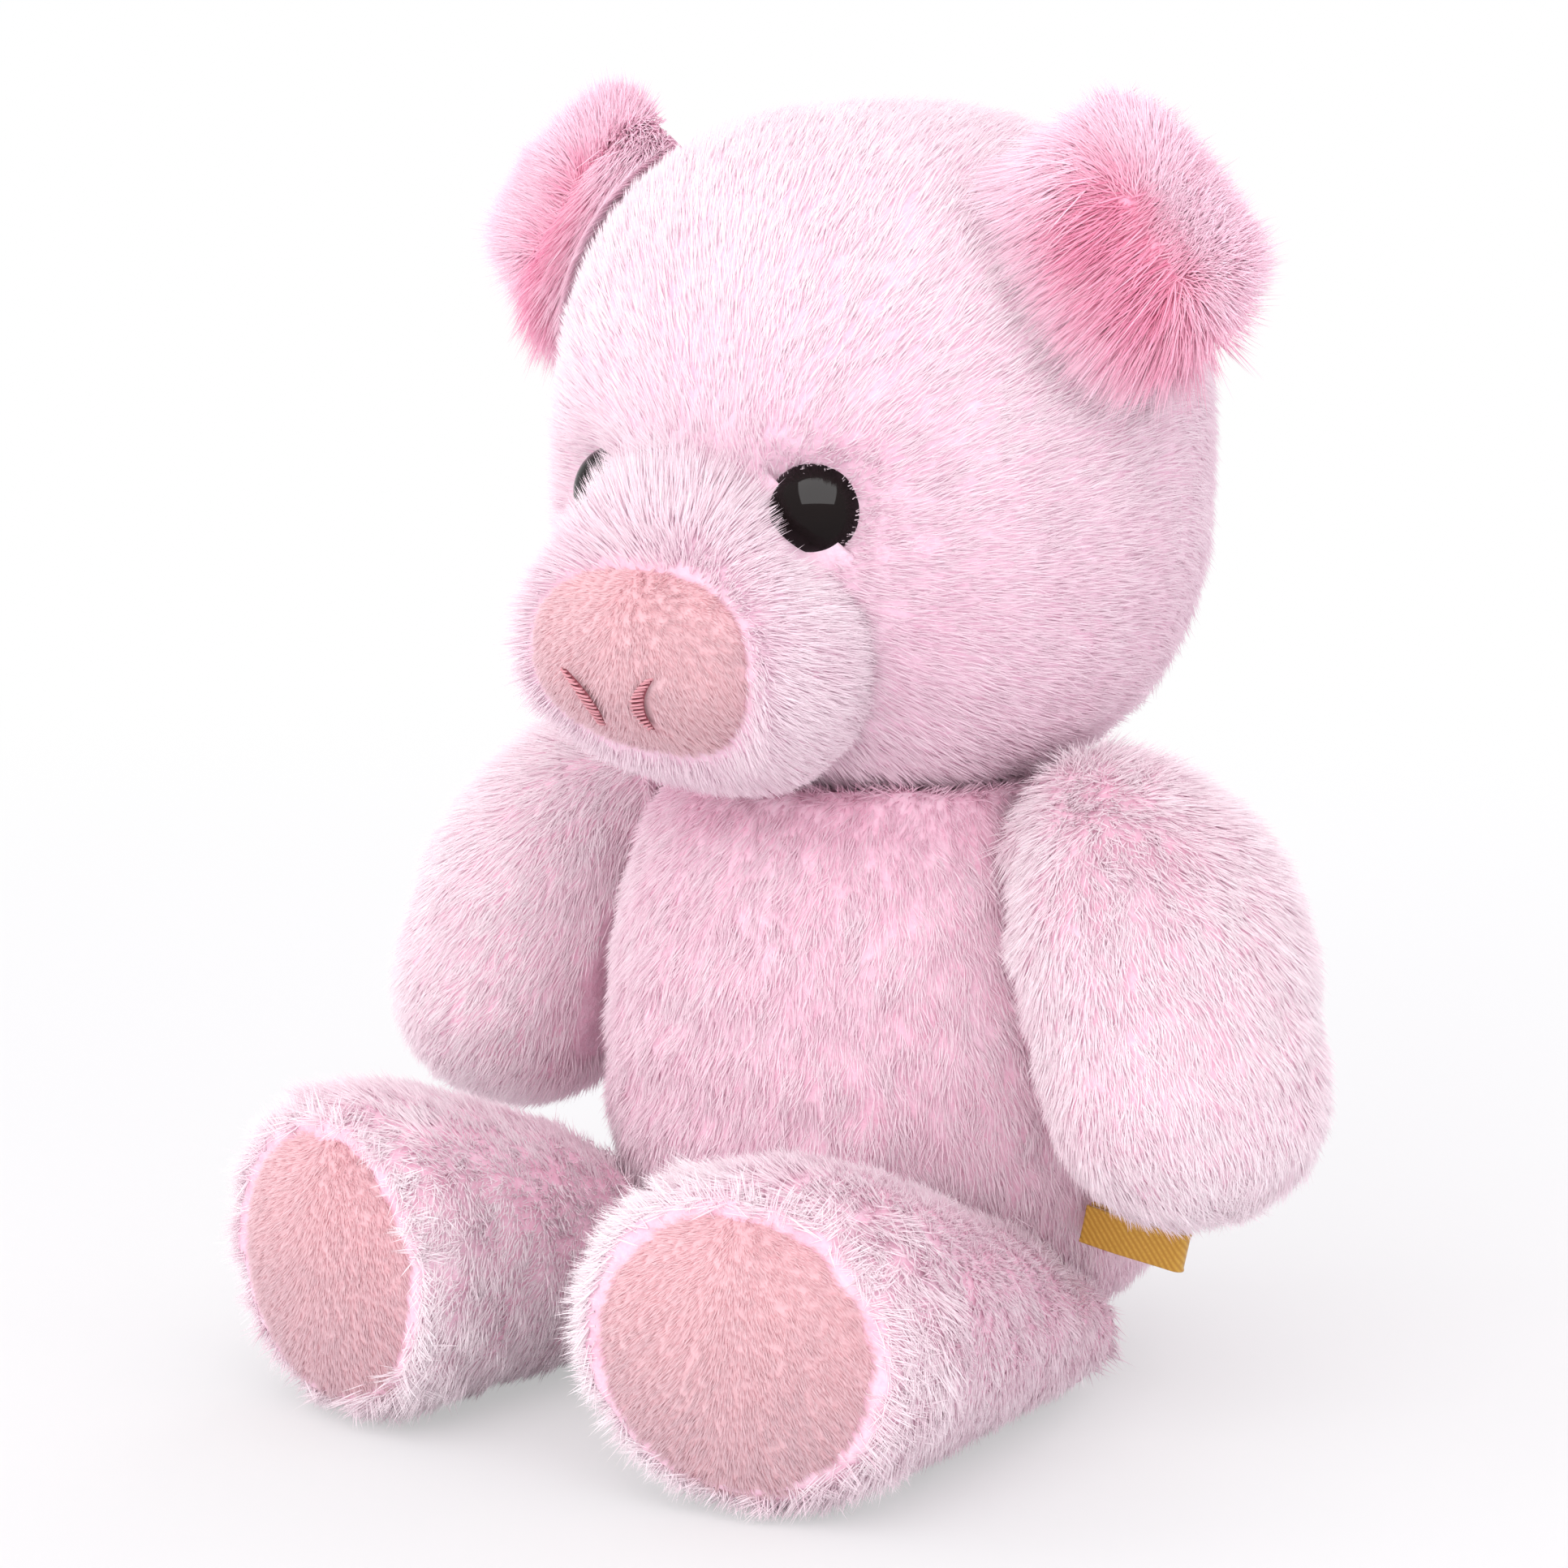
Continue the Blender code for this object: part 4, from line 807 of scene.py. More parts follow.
# the dense fibres below the tips give the mass of each colour between the strands, without any gloss
pink_knit = under_pile("polyester_pile_dense_pale_pink", "#F2C0D5", "#F9DBE9")
face_knit = under_pile("polyester_pile_dense_milk_pink", "#F0C6DA", "#F6DAE8")
rose_knit = under_pile("polyester_pile_dense_rose", "#F3A4C1", "#FABFD6")
salmon_knit = under_pile("velour_ground_salmon", "#E3B7BE", "#EAC6CC")
print("pile materials made")


# %% Backing pieces
def backing(name, grid, material, body, replaces):
    """A closed shell on a grid, as the stuffed and knitted body of the piece that the pile grows on."""
    piece = add_object(name, fill_mesh(name, *closed_arrays(grid)), material, body, replaces)
    return piece


backing("torso_backing", torso_shell, pink_knit, "torso",
        ("torso_cover", "torso_stuffing", "pellet_pouch"))
backing("head_backing", head_shell, face_knit, "head", ("head_cover", "head_stuffing"))
backing("muzzle_backing", muzzle_shell, face_knit, "head",
        ("muzzle_cover", "muzzle_stuffing"))
# the leg's shell lies 0.8 mm deeper than the others, which leaves room for its steeper pile
LEG_DEPTH = 2.8 * MM
arm_shells, leg_shells = {}, {}
for side, word in ((1, "left"), (-1, "right")):
    grid = arm_grid(side, PILE_DEPTH)
    seam, normal = shoulder(side)
    outer = (rise((grid[..., 2:] - 60 * MM) / (25 * MM))
             * rise(((grid - seam) @ normal)[..., None] / (16 * MM)))
    grid = grid + 3.6 * MM * outer * outward_normals(grid)
    arm_shells[word] = soften(grid, 0.6 * MM, 9 * MM, 304 + side)
    backing("arm_backing_" + word, arm_shells[word], pink_knit, "arm_" + word,
            ("arm_cover_" + word, "arm_stuffing_" + word))
    grid = leg_grid(side, LEG_DEPTH)
    grid = soften(grid + 2.0 * MM * rise(grid[..., 2:] / (45 * MM)) * Z, 0.6 * MM, 9 * MM, 307 + side)
    grid[..., 2] = np.maximum(grid[..., 2], 0.9 * MM)
    leg_shells[word] = outside_hip(grid, 1.0 * MM)[0]
    backing("leg_backing_" + word, leg_shells[word], pink_knit, "leg_" + word,
            ("leg_cover_" + word, "leg_stuffing_" + word))
print("backings in place")

# %% [markdown]
# ## Head pile
# On the head the pile is brushed away from the nose: up over the forehead, out over the cheeks and
# down at the back. Round each eye it is combed aside, and below the muzzle there is none, because
# the muzzle is sewn there.

# %% Head pile
NOSE_ON_HEAD = HEAD_CENTRE + np.array([0, -0.0535, -0.0245])


EYE_COMB, EYE_CLEAR, NECK_CLEAR = 9.5 * MM, 7.5 * MM, 26 * MM


def head_flow(points, normals):
    """Away from the nose, turning down behind, and combed aside from both eyes."""
    behind = rise((points[:, 1] - HEAD_CENTRE[1]) / HEAD_RADIUS * 0.9 + 0.1)[:, None]
    flow = (1 - behind) * unit(points - NOSE_ON_HEAD) - (behind + 0.12) * Z
    for eye in EYES:
        away = points - eye
        far = np.linalg.norm(away, axis=1, keepdims=True)
        flow = flow + 2.4 * np.exp(-(far / EYE_COMB) ** 2) * away / far
    return unit(flow)


def head_keep(points, normals):
    """Clear of the eyes, the ears' roots, the muzzle's footprint and the neck."""
    kept = np.ones(len(points), bool)
    for eye in EYES:
        kept &= np.linalg.norm(points - eye, axis=1) > EYE_CLEAR
    for side in (1, -1):
        root, along, out = ear_frame(side)
        local = points - root
        kept &= ~((np.abs(local[:, 1]) < 4 * MM) & (np.abs(local @ along - 5 * MM) < 21 * MM)
                  & (local @ out > -6 * MM))
    kept &= ~((muzzle_level(points) < 0.88) & (points[:, 1] < HEAD_CENTRE[1]))
    return (kept & ~((np.hypot(points[:, 0], points[:, 1] - HEAD_CENTRE[1]) < NECK_CLEAR)
                     & (points[:, 2] < 0.12)))


def head_tone(points):
    """Palest on the forehead and round the muzzle, deeper low on the cheeks and at the back."""
    front = rise(0.5 - (points[:, 1] - HEAD_CENTRE[1]) / 0.09)
    high = rise((points[:, 2] - 0.118) / 0.06)
    return (0.28 + 0.42 * front * high + 0.12 * high + 0.08 * patches(points, 18 * MM, 5)
            + 0.09 * patches(points, 5 * MM, 6))


def head_lift(points):
    """Low on the head, and steeper round the eyes, where the pile stands up beside them."""
    near = sum(np.exp(-(np.linalg.norm(points - eye, axis=1) / (13 * MM)) ** 2) for eye in EYES)
    return 24 + 26 * np.clip(near, 0, 1)


front_rows = lambda points, normals: head_keep(points, normals) & (points[:, 1] < HEAD_CENTRE[1])
back_rows = lambda points, normals: head_keep(points, normals) & (points[:, 1] >= HEAD_CENTRE[1])
for name, keep, seed, count in (("head_pile_front", front_rows, 11, 23500),
                                ("head_pile_back", back_rows, 12, 18500)):
    grow(name, head_shell, count, STRANDS, SPREAD, 5.4 * MM, head_lift, STRAND_WIDTH, head_flow, head_tone,
         face_pile, "head", seed, keep, pull=0.15, wobble=0.10)

# %% [markdown]
# ## Muzzle pile
# The muzzle is cut from the same plush, but it is the palest part. Its pile starts at the seam round
# the nose pad and sweeps back towards the cheeks, so that its first locks stand like a ruff.

# %% Muzzle pile
def muzzle_near(points):
    """Near the nose pad's seam: 1 there, falling to 0 some 8 mm behind it."""
    return np.exp(-(np.maximum(points[:, 1] - NOSE_CENTRE[1], 0) / (5 * MM)) ** 2)


def muzzle_flow(points, normals):
    """Outwards from the nose's middle and back, a little downwards; at the seam straight outwards."""
    near = muzzle_near(points)[:, None]
    back = unit((points - NOSE_CENTRE) * (1, 0.6, 1)) + 0.55 * Y - 0.22 * Z
    return unit((1 - near) * back + near * (unit((points - NOSE_CENTRE) * (1, 0, 1)) - 0.25 * Z))


def muzzle_keep(points, normals):
    """Not inside the nose pad, and not under the head's own pile or over the eyes."""
    x, z = points[:, 0] / NOSE_SIZES[0], (points[:, 2] - NOSE_CENTRE[2]) / NOSE_SIZES[1]
    z = np.where(z > 0, z / NOSE_TOP, z)
    inside = ((np.abs(x) ** MUZZLE_POWER + np.abs(z) ** MUZZLE_POWER < 1.0)
              & (points[:, 1] < NOSE_CENTRE[1] + 14 * MM))
    kept = ~inside & (head_level(points, PILE_DEPTH) > 1.01)
    for eye in EYES:
        kept &= np.linalg.norm(points - eye, axis=1) > EYE_CLEAR + 1.5 * MM
    return kept


def muzzle_lift(points):
    """Steep at the nose seam and high on the bridge between the eyes, lying lower towards the cheeks."""
    bridge = rise((points[:, 2] - MUZZLE_BACK[2] - 8 * MM) / (10 * MM))
    return 24 + 16 * muzzle_near(points) + 24 * bridge


def muzzle_length(points):
    """Longest on the bridge between the eyes, shorter round the nose."""
    bridge = rise((points[:, 2] - MUZZLE_BACK[2] - 6 * MM) / (10 * MM))
    low = (rise((NOSE_CENTRE[2] - 4 * MM - points[:, 2]) / (12 * MM))
           - 1.3 * rise((points[:, 1] - MUZZLE_BACK[1] + 12 * MM) / (10 * MM)))
    return (5.4 - 1.2 * low + 5.0 * bridge * np.exp(-(points[:, 0] / (15 * MM)) ** 2)) * MM


def muzzle_tone(points):
    """Pale, with faint patches, and deeper underneath as painted shade under the snout."""
    return 0.62 - 0.22 * rise((0.112 - points[:, 2]) / 0.012) + 0.12 * patches(points, 12 * MM, 8)


grow("muzzle_pile", muzzle_shell, 11000, STRANDS, 0.8 * MM, muzzle_length, muzzle_lift, STRAND_WIDTH,
     muzzle_flow, muzzle_tone, face_pile, "head", 21, muzzle_keep, pull=0.2, wobble=0.10)

# %% [markdown]
# ## Torso pile
# The torso's pile is brushed down. It is about as long as the head's and gathers in clearer
# locks, and it thins out where the arms and the head are sewn on.

# %% Torso pile
def torso_flow(points, normals):
    """Down, a little outwards from the middle of the belly, and swayed to either side in patches of a
    few millimetres."""
    side = np.cross(normals, Z)
    return unit(-Z + 0.30 * (points - np.array([0, 0, 0.06])) * (1, 1, 0) / TORSO_RADIUS
                + 0.45 * patches(points, 9 * MM, 3)[:, None] * side)


def torso_keep(points, normals):
    """Not in the neck's dish, in the shoulder seams or under the seat."""
    kept = (~((np.hypot(points[:, 0], points[:, 1] - HEAD_CENTRE[1]) < 22 * MM) & (points[:, 2] > 0.09))
            & (points[:, 2] > 1.5 * MM))
    for side in (1, -1):
        seam, normal = shoulder(side)
        local = points - seam
        out = local @ normal
        kept &= ~((np.abs(out + PILE_DEPTH) < 0.6 * MM)
                  & (np.linalg.norm(local - out[:, None] * normal, axis=1) < 13 * MM))
    return kept


def torso_tone(points):
    """Deeper towards the neck and the seat: painted shade in the fold under the head and by the floor,
    with streaky patches.
    """
    # painted shade: low is the seat by the floor, high the fold under the head
    low = rise((0.022 - points[:, 2]) / 0.02)
    high = rise((points[:, 2] - 0.086) / 0.014)
    return (0.54 - 0.04 * low - 0.42 * high + 0.09 * patches(points, 16 * MM, 31)
            + 0.12 * patches(points * (1.5, 1.5, 0.8), 6 * MM, 32))


for name, half, seed, count in (("torso_pile_front", -1, 41, 20500), ("torso_pile_back", 1, 42, 17500)):
    keep = lambda points, normals, half=half: torso_keep(points, normals) & (points[:, 1] * half > 0)
    grow(name, torso_shell, count, STRANDS, SPREAD, 5.2 * MM, 26, STRAND_WIDTH, torso_flow, torso_tone,
         body_pile,
         "torso", seed, keep, pull=0.2, wobble=0.16)

# %% [markdown]
# ## Arm and leg pile
# The limbs' pile is brushed towards the hands and feet. At a foot the last locks stand out past the
# seam and make a soft ruff round the sole.

# %% Arm pile
def arm_flow(side):
    """Along the arm and a little down, swayed in patches."""
    way = unit(ARM_REACH * (side, 1, 1))
    return (lambda points, normals: unit(way - 0.35 * Z + 0.4 * patches(points, 9 * MM, 51)[:, None]
                                         * np.cross(normals, way)))


def arm_tone(side):
    """Paler towards the hand and outside, deeper next to the body as painted shade of the fold there."""
    seam, normal = shoulder(side)
    def tone(points):
        along = (points - seam) @ unit(ARM_REACH * (side, 1, 1)) / 0.075
        # the side next to the body is deeper: painted shade of the fold against the torso
        body_fold_shade = rise((8 * MM - (points - seam) @ normal) / (8 * MM))
        return (0.82 + 0.02 * rise(along) - 0.22 * body_fold_shade + 0.07 * patches(points, 15 * MM, 52)
                + 0.10 * patches(points, 6 * MM, 53))
    return tone


def arm_puff(side, low, high):
    """A value that is high at the shoulder's top and eases to low 40 mm down the arm."""
    seam, _ = shoulder(side)
    return lambda points: low + (high - low) * rise((seam[2] + 14 * MM - points[:, 2]) / (-40 * MM) + 1)


for side, word in ((1, "left"), (-1, "right")):
    seam, normal = shoulder(side)
    keep = lambda points, normals, seam=seam, normal=normal: (points - seam) @ normal > 0.8 * MM
    grow("arm_pile_" + word, arm_shells[word], 7400, STRANDS, SPREAD, arm_puff(side, 5.2 * MM, 6.6 * MM),
         arm_puff(side, 26, 34), STRAND_WIDTH, arm_flow(side), arm_tone(side),
         body_pile, "arm_" + word, 61 + side, keep, pull=0.2, wobble=0.16)

# %% Leg pile
def leg_flow(side):
    """Along the leg to the foot, and out from its middle line near the sole."""
    place, _, forward = (part[0] for part in leg_frame(side, 0.86))
    def flow(points, normals):
        near = rise(((points - place) @ forward + 0.012) / 0.014)[:, None]
        middle = np.array([place[0], place[1], 0.026])
        out = points - middle
        out = out - (out @ forward)[:, None] * forward
        sway = 0.4 * patches(points, 9 * MM, 71)[:, None] * np.cross(normals, forward)
        return unit((1 - 0.45 * near) * forward - 0.25 * Z + 0.9 * near * unit(out) + sway)
    return flow


def before_sole(side, points):
    """How far points lie behind the sole's plane, in metres along the leg."""
    place, _, forward = (part[0] for part in leg_frame(side, 1.0))
    return -(points - place) @ forward


def leg_lift(side):
    """Low along the leg, steeper in a crest that rings the foot 9 mm behind the sole, and flat at its
    edge."""
    def lift(points):
        back = before_sole(side, points)
        return 25 + 14 * np.exp(-((back - 0.009) / 0.005) ** 2) - 10 * rise((0.002 - back) / 0.002)
    return lift


def leg_length(side):
    """Longest in the crest, nearly as long at the sole's seam, and shorter near the hip."""
    def length(points):
        back = before_sole(side, points)
        return ((5.2 + 1.6 * np.exp(-((back - 0.010) / 0.005) ** 2) + 0.4 * rise((0.006 - back) / 0.005)
                 - 1.6 * rise((back - 0.082) / 0.010)) * MM)
    return length


def leg_tone(side):
    """Palest round the sole, deeper up the leg, and paler on the inner side, which is painted light
    against the shade between the legs.
    """
    def tone(points):
        back = before_sole(side, points)
        place, across, _ = (part[0] for part in leg_frame(side, 0.9))
        # the inner side is painted paler, to lift the shade that falls between the legs
        inner = rise(-side * ((points - place) @ across) / (20 * MM))
        return (0.74 + 0.08 * rise((0.045 - back) / 0.045) + 0.18 * inner
                + 0.07 * patches(points, 15 * MM, 72) + 0.09 * patches(points, 6 * MM, 73))
    return tone


# half sizes of the oval on the sole that stays free of pile
PAD_CLEAR = np.array([22.6, 21.1]) * MM
for side, word in ((1, "left"), (-1, "right")):
    place, across, forward = (part[0] for part in leg_frame(side, 1.0))
    sole_middle = place + (FOOT_SIZES[1] - FLOOR_SINK) * Z
    def keep(points, normals, sole=sole_middle, across=across, forward=forward):
        inside = outside_hip(points, 1.3 * MM)[1]
        # the hollow's outer strip and its low back edge are in view, so they carry pile too
        inside &= (np.abs(points[:, 0]) < 41 * MM) & ((points[:, 2] > 15 * MM) | (points[:, 1] < 0))
        local = points - sole
        x, z = local @ across / PAD_CLEAR[0], local[:, 2] / PAD_CLEAR[1]
        on_pad = (x ** 2 + z ** 2 < 1.0 + 0.10 * patches(points, 5 * MM, 74)) & (local @ forward > -3 * MM)
        return ~inside & ~on_pad & ~((points[:, 2] < 1.8 * MM) & (normals[:, 2] < -0.9))
    grow("leg_pile_" + word, leg_shells[word], 9600, STRANDS, SPREAD, leg_length(side), leg_lift(side),
         STRAND_WIDTH, leg_flow(side), leg_tone(side),
         body_pile, "leg_" + word, 81 + side, keep, pull=0.2, wobble=0.16)

# %% [markdown]
# ## Nose and soles
# The nose and the soles are cut from velour with a nap only two millimetres long. Sewn in under
# tension they bulge like a shallow dome. The nap is brushed aside and down from a place near the top,
# and is laid as real strands too, much shorter and closer than the pile.

# %% Pads
def dome(share, height):
    """A pad's bulge: its height times (1 - share^2.4)^0.75, level in the middle and steep at the rim."""
    return height * np.maximum(1 - share ** 2.4, 0) ** 0.75


def pad_grid(centre, across, outward, sizes, height, wall, power=2.0, sink=0.0):
    """Ovals from the middle of the face to its rim, and back to the middle behind, one wall deeper."""
    share = np.sin(np.linspace(0.04, 1, 22) * math.pi / 2)
    x, z = super_ring(round_angles(SIDES), power)
    def face(offset, shares):
        rings = centre + (dome(shares, height) + offset)[:, None, None] * outward
        return (rings + shares[:, None, None]
                * ((sizes[0] * x)[:, None] * across + (sizes[1] * z)[:, None] * Z))
    return np.concatenate([face(-sink, share), face(-wall, share[::-1])])


def nap(name, grid, locks, whorl, outward, tone, body, seed, bare=None):
    """Sheared nap on a pad's face, brushed aside and down from a whorl, and left out where bare says so."""
    across = np.cross(outward, Z)
    def flow(points, normals):
        local = points - whorl
        fall = 0.4 + 0.6 * rise(0.5 - local[:, 2] / (12 * MM))
        return (np.tanh(local @ across / (7 * MM)) * 0.9)[:, None] * across - fall[:, None] * Z
    keep = lambda points, normals: (normals @ outward > 0.05) & (True if bare is None else ~bare(points))
    return grow(name, grid, locks, STRANDS, 0.35 * MM, 2.3 * MM, 32, 0.20 * MM, flow, tone, nap_pile, body,
                seed, keep,
                wobble=0.12, sink=0.25 * MM)


NOSTRIL_TALL, NOSTRIL_DROP, NOSTRIL_HALF = 8.4 * MM, 6.3 * MM, 1.15 * MM


def nostril_bow(share):
    """How far a nostril's bar lies from the nose's middle line, at a share from -0.5 at its foot to 0.5
    at its top."""
    return (5.2 + 3.5 * share + 6.2 * share ** 2) * MM


def on_nostril(points):
    """Points under a nostril's bar, where the threads pull the nap down."""
    share = (points[:, 2] - NOSE_CENTRE[2] + NOSTRIL_DROP) / NOSTRIL_TALL
    return (np.abs(share) < 0.53) & (np.abs(np.abs(points[:, 0]) - nostril_bow(share)) < 1.35 * MM)


NOSE_DOME, PAD_WALL = 7.5 * MM, 2.4 * MM
nose_grid = pad_grid(NOSE_CENTRE, X, -Y, NOSE_SIZES - 0.6 * MM, NOSE_DOME, PAD_WALL, MUZZLE_POWER, 1.1 * MM)
upper = nose_grid[..., 2] > NOSE_CENTRE[2]
nose_grid[..., 2] = np.where(upper, NOSE_CENTRE[2] + NOSE_TOP * (nose_grid[..., 2] - NOSE_CENTRE[2]),
                             nose_grid[..., 2])
nose_grid = tuck(nose_grid)
backing("nose_backing", nose_grid, salmon_knit, "head", ("nose_pad",))
# painted light and shade: the nap takes its paler colours on the pad's upper half and deeper ones below
nose_light_and_shade_tone = (lambda points: 0.45 - 0.40 * rise((points[:, 2] - NOSE_CENTRE[2]) / (14 * MM))
             + 0.12 * patches(points, 9 * MM, 91))
nap("nose_nap", nose_grid, 4200, NOSE_CENTRE + np.array([0, -7, 3]) * MM, -Y, nose_light_and_shade_tone, "head", 92,
    bare=on_nostril)

PAD_SIZES, PAD_DOME = np.array([23.0, 21.5]) * MM, 6.0 * MM
for side, word in ((1, "left"), (-1, "right")):
    place, across, forward = (part[0] for part in leg_frame(side, 1.0))
    sole = place + (FOOT_SIZES[1] - FLOOR_SINK) * Z
    grid = pad_grid(sole, across, forward, PAD_SIZES, PAD_DOME, PAD_WALL, 2.0, 1.1 * MM)
    backing("sole_backing_" + word, grid, salmon_knit, "leg_" + word, ("foot_pad_" + word,))
    # painted light and shade: the sole's nap is paler on the pad's upper half and deeper below
    tone = (lambda points, sole=sole: 0.75 - 0.65 * rise((points[:, 2] - sole[2]) / (30 * MM) + 0.5)
            + 0.12 * patches(points, 10 * MM, 94))
    nap("sole_nap_" + word, grid, 5600, sole + 12 * MM * Z, forward, tone, "leg_" + word, 95 + side)

# %% [markdown]
# ## Nostrils
# Each nostril is a short bar of satin stitch: parallel threads laid side by side across a bowed line,
# each pulled down into the nap at both ends. The threads are modelled one by one, over a flat
# underlay whose deep colour is painted shade, and that is what shows between them.

# %% Satin stitches
def nose_face(x, z):
    """A point on the nose pad's face at a distance across and up from its middle."""
    share = (np.abs(x) / NOSE_SIZES[0]) ** MUZZLE_POWER + (np.abs(z) / NOSE_SIZES[1]) ** MUZZLE_POWER
    return tuck(NOSE_CENTRE + x[..., None] * X + z[..., None] * Z
                - dome(share ** (1 / MUZZLE_POWER), NOSE_DOME)[..., None] * Y)


THREADS, THREAD_RADIUS = 15, 0.20 * MM


def stitch_mesh(name, side, threads=THREADS, rings=9, sides=8):
    """Threads across a bowed line: each is a tube whose middle rises as a half sine over the nap."""
    rng = np.random.default_rng(101 + side)
    along = np.linspace(-0.5, 0.5, threads)
    bow = side * nostril_bow(along)
    half = NOSTRIL_HALF * np.cos(along * math.pi * 0.7) + rng.uniform(-0.10, 0.12, threads) * MM
    t = np.linspace(-1, 1, rings)
    x = bow[:, None] + half[:, None] * t
    z = ((NOSTRIL_TALL * along - NOSTRIL_DROP)[:, None] + (0.22 * MM) * t * side
         + rng.normal(0, 0.05 * MM, (threads, 1)))
    lift = (0.20 + 0.60 * np.sqrt(np.maximum(1 - t ** 2, 0))) * MM
    line = nose_face(x, z) - lift[None, :, None] * Y
    way = unit(np.gradient(line, axis=1))
    over = unit(np.cross(way, -Y))
    up = np.cross(over, way)
    a = round_angles(sides)[:, None]
    tubes = line[:, :, None] + THREAD_RADIUS * (np.cos(a) * over[:, :, None] + np.sin(a) * up[:, :, None])
    parts = [closed_arrays(thread) for thread in tubes]
    points = np.concatenate([part[0] for part in parts])
    corners = np.concatenate([part[1] + k * len(parts[0][0]) for k, part in enumerate(parts)])
    return fill_mesh(name, points, corners, np.concatenate([part[2] for part in parts]))


def underlay_mesh(name, side, rings=15, sides=16):
    """A flat cushion under the threads: ovals across the bowed line, as wide as they are and 0.35 mm high."""
    along = np.linspace(-0.52, 0.52, rings)
    fade = np.sqrt(1 - (along / 0.56) ** 2)[:, None]
    a = round_angles(sides)[None]
    x = side * nostril_bow(along)[:, None] + NOSTRIL_HALF * fade * np.cos(a)
    z = np.broadcast_to((NOSTRIL_TALL * along - NOSTRIL_DROP)[:, None], x.shape)
    grid = nose_face(x, z) - (0.35 * MM * fade * np.sin(a))[..., None] * Y
    return fill_mesh(name, *closed_arrays(grid))


# filament thread laid side by side: a painted sheen, a lighter line along each thread,
# broken every third of a millimetre or so where the thread twists
thread_satin, tree, shader = new_material("satin_stitch_polyester_thread_rose")
place = add_node(tree, "ShaderNodeTexCoord")
twist_sheen = add_node(tree, "ShaderNodeTexWave", {"Vector": place.outputs["Object"]},
                 {"Scale": 900.0, "Distortion": 3.0}, bands_direction="Z")
colour = add_node(tree, "ShaderNodeMix", {0: twist_sheen.outputs[1]},
                  {MIX_A: hex_colour("#C87F89"), MIX_B: hex_colour("#E0A3AC")}, data_type="RGBA")
tree.links.new(colour.outputs[MIX_RESULT], shader.inputs["Base Color"])
shader.inputs["Roughness"].default_value = 0.42
shader.inputs["Sheen Weight"].default_value = 0.15
# painted shade: the same thread, matt and deep as in shade, so that the bar reads as a fold in the nose
underlay, tree, shader = new_material("underlay_thread_deep_painted_shade")
shader.inputs["Base Color"].default_value = hex_colour("#8A4550")
shader.inputs["Roughness"].default_value = 0.8
for side, word in ((1, "left"), (-1, "right")):
    add_object("nostril_underlay_shade_" + word, underlay_mesh("nostril_underlay_shade_" + word, side), underlay,
               "head")
    add_object("nostril_threads_" + word, stitch_mesh("nostril_threads_" + word, side), thread_satin, "head",
               ("nostril_stitch_" + word,))
print(THREADS, "threads in each nostril")

# %% [markdown]
# ## Eyes
# The eyes are black plastic safety eyes: a polished dome on a shank, set down into the pile. They
# are turned smoothly here, because a polished black surface shows every facet in its highlight.

# %% Eyes
EYE_RADIUS, EYE_BULGE, EYE_BASE = 7.6 * MM, 7.0 * MM, -2.1 * MM


def eye_grid(side):
    """A short straight side, then a quarter ellipse to the pole, turned about the eye's axis."""
    seat, outward = eye_seat(side)
    turn = np.linspace(0, math.pi / 2, 22)[:-1]
    radius = np.concatenate([[0.4, 0.95, 1.0], np.cos(turn)]) * EYE_RADIUS
    brim = EYE_BASE - np.array([0.2, 0.2, 0.1]) * MM
    height = np.concatenate([brim, EYE_BASE + EYE_BULGE * np.sin(turn)]) - EYE_SINK
    over = np.cross(Z, outward)
    a = round_angles(64)[:, None]
    ring = np.cos(a) * over + np.sin(a) * Z
    return seat + height[:, None, None] * outward + radius[:, None, None] * ring


# polished acrylic: nearly black all over, with one crisp highlight that says how smooth and round it is
black_gloss, tree, shader = new_material("moulded_acrylic_polished_black")
shader.inputs["Base Color"].default_value = hex_colour("#0C0808")
shader.inputs["Roughness"].default_value = 0.06
shader.inputs["Specular IOR Level"].default_value = 0.11
shader.inputs["IOR"].default_value = 1.49
for side, word in ((1, "left"), (-1, "right")):
    name = "eye_dome_" + word
    add_object(name, fill_mesh(name, *closed_arrays(eye_grid(side))), black_gloss, "head", ("eye_" + word,))
# unpainted polythene behind the eyes: milky, a little cloudy and waxy; it stays inside the head
resin, tree, shader = new_material("moulded_polythene_natural")
place = add_node(tree, "ShaderNodeTexCoord")
cloud = add_node(tree, "ShaderNodeTexNoise", {"Vector": place.outputs["Object"]}, {"Scale": 400.0})
colour = add_node(tree, "ShaderNodeMix", {0: cloud.outputs[0]},
                  {MIX_A: hex_colour("#DAD7CF"), MIX_B: hex_colour("#E9E6DE")}, data_type="RGBA")
tree.links.new(colour.outputs[MIX_RESULT], shader.inputs["Base Color"])
shader.inputs["Roughness"].default_value = 0.45
for word in ("left", "right"):
    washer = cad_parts["eye_washer_" + word]
    for index in range(len(washer.material_slots)):
        washer.material_slots[index].material = resin
catching = bpy.data.collections.new("window_box_receivers")
for word in ("left", "right"):
    catching.objects.link(bpy.data.objects["eye_dome_" + word])
window_box.light_linking.receiver_collection = catching
print("eyes and washers finished")

# %% [markdown]
# ## Ears
# The ears are two leaves of a longer, rose plush, sewn flat on a straight root. Their pile parts
# along a line near the root: above it the locks stream outwards past the edge, below it they fall
# over the head. The parting is where the deep roots show, and its deeper tone there is also painted
# shade, as in a fold.

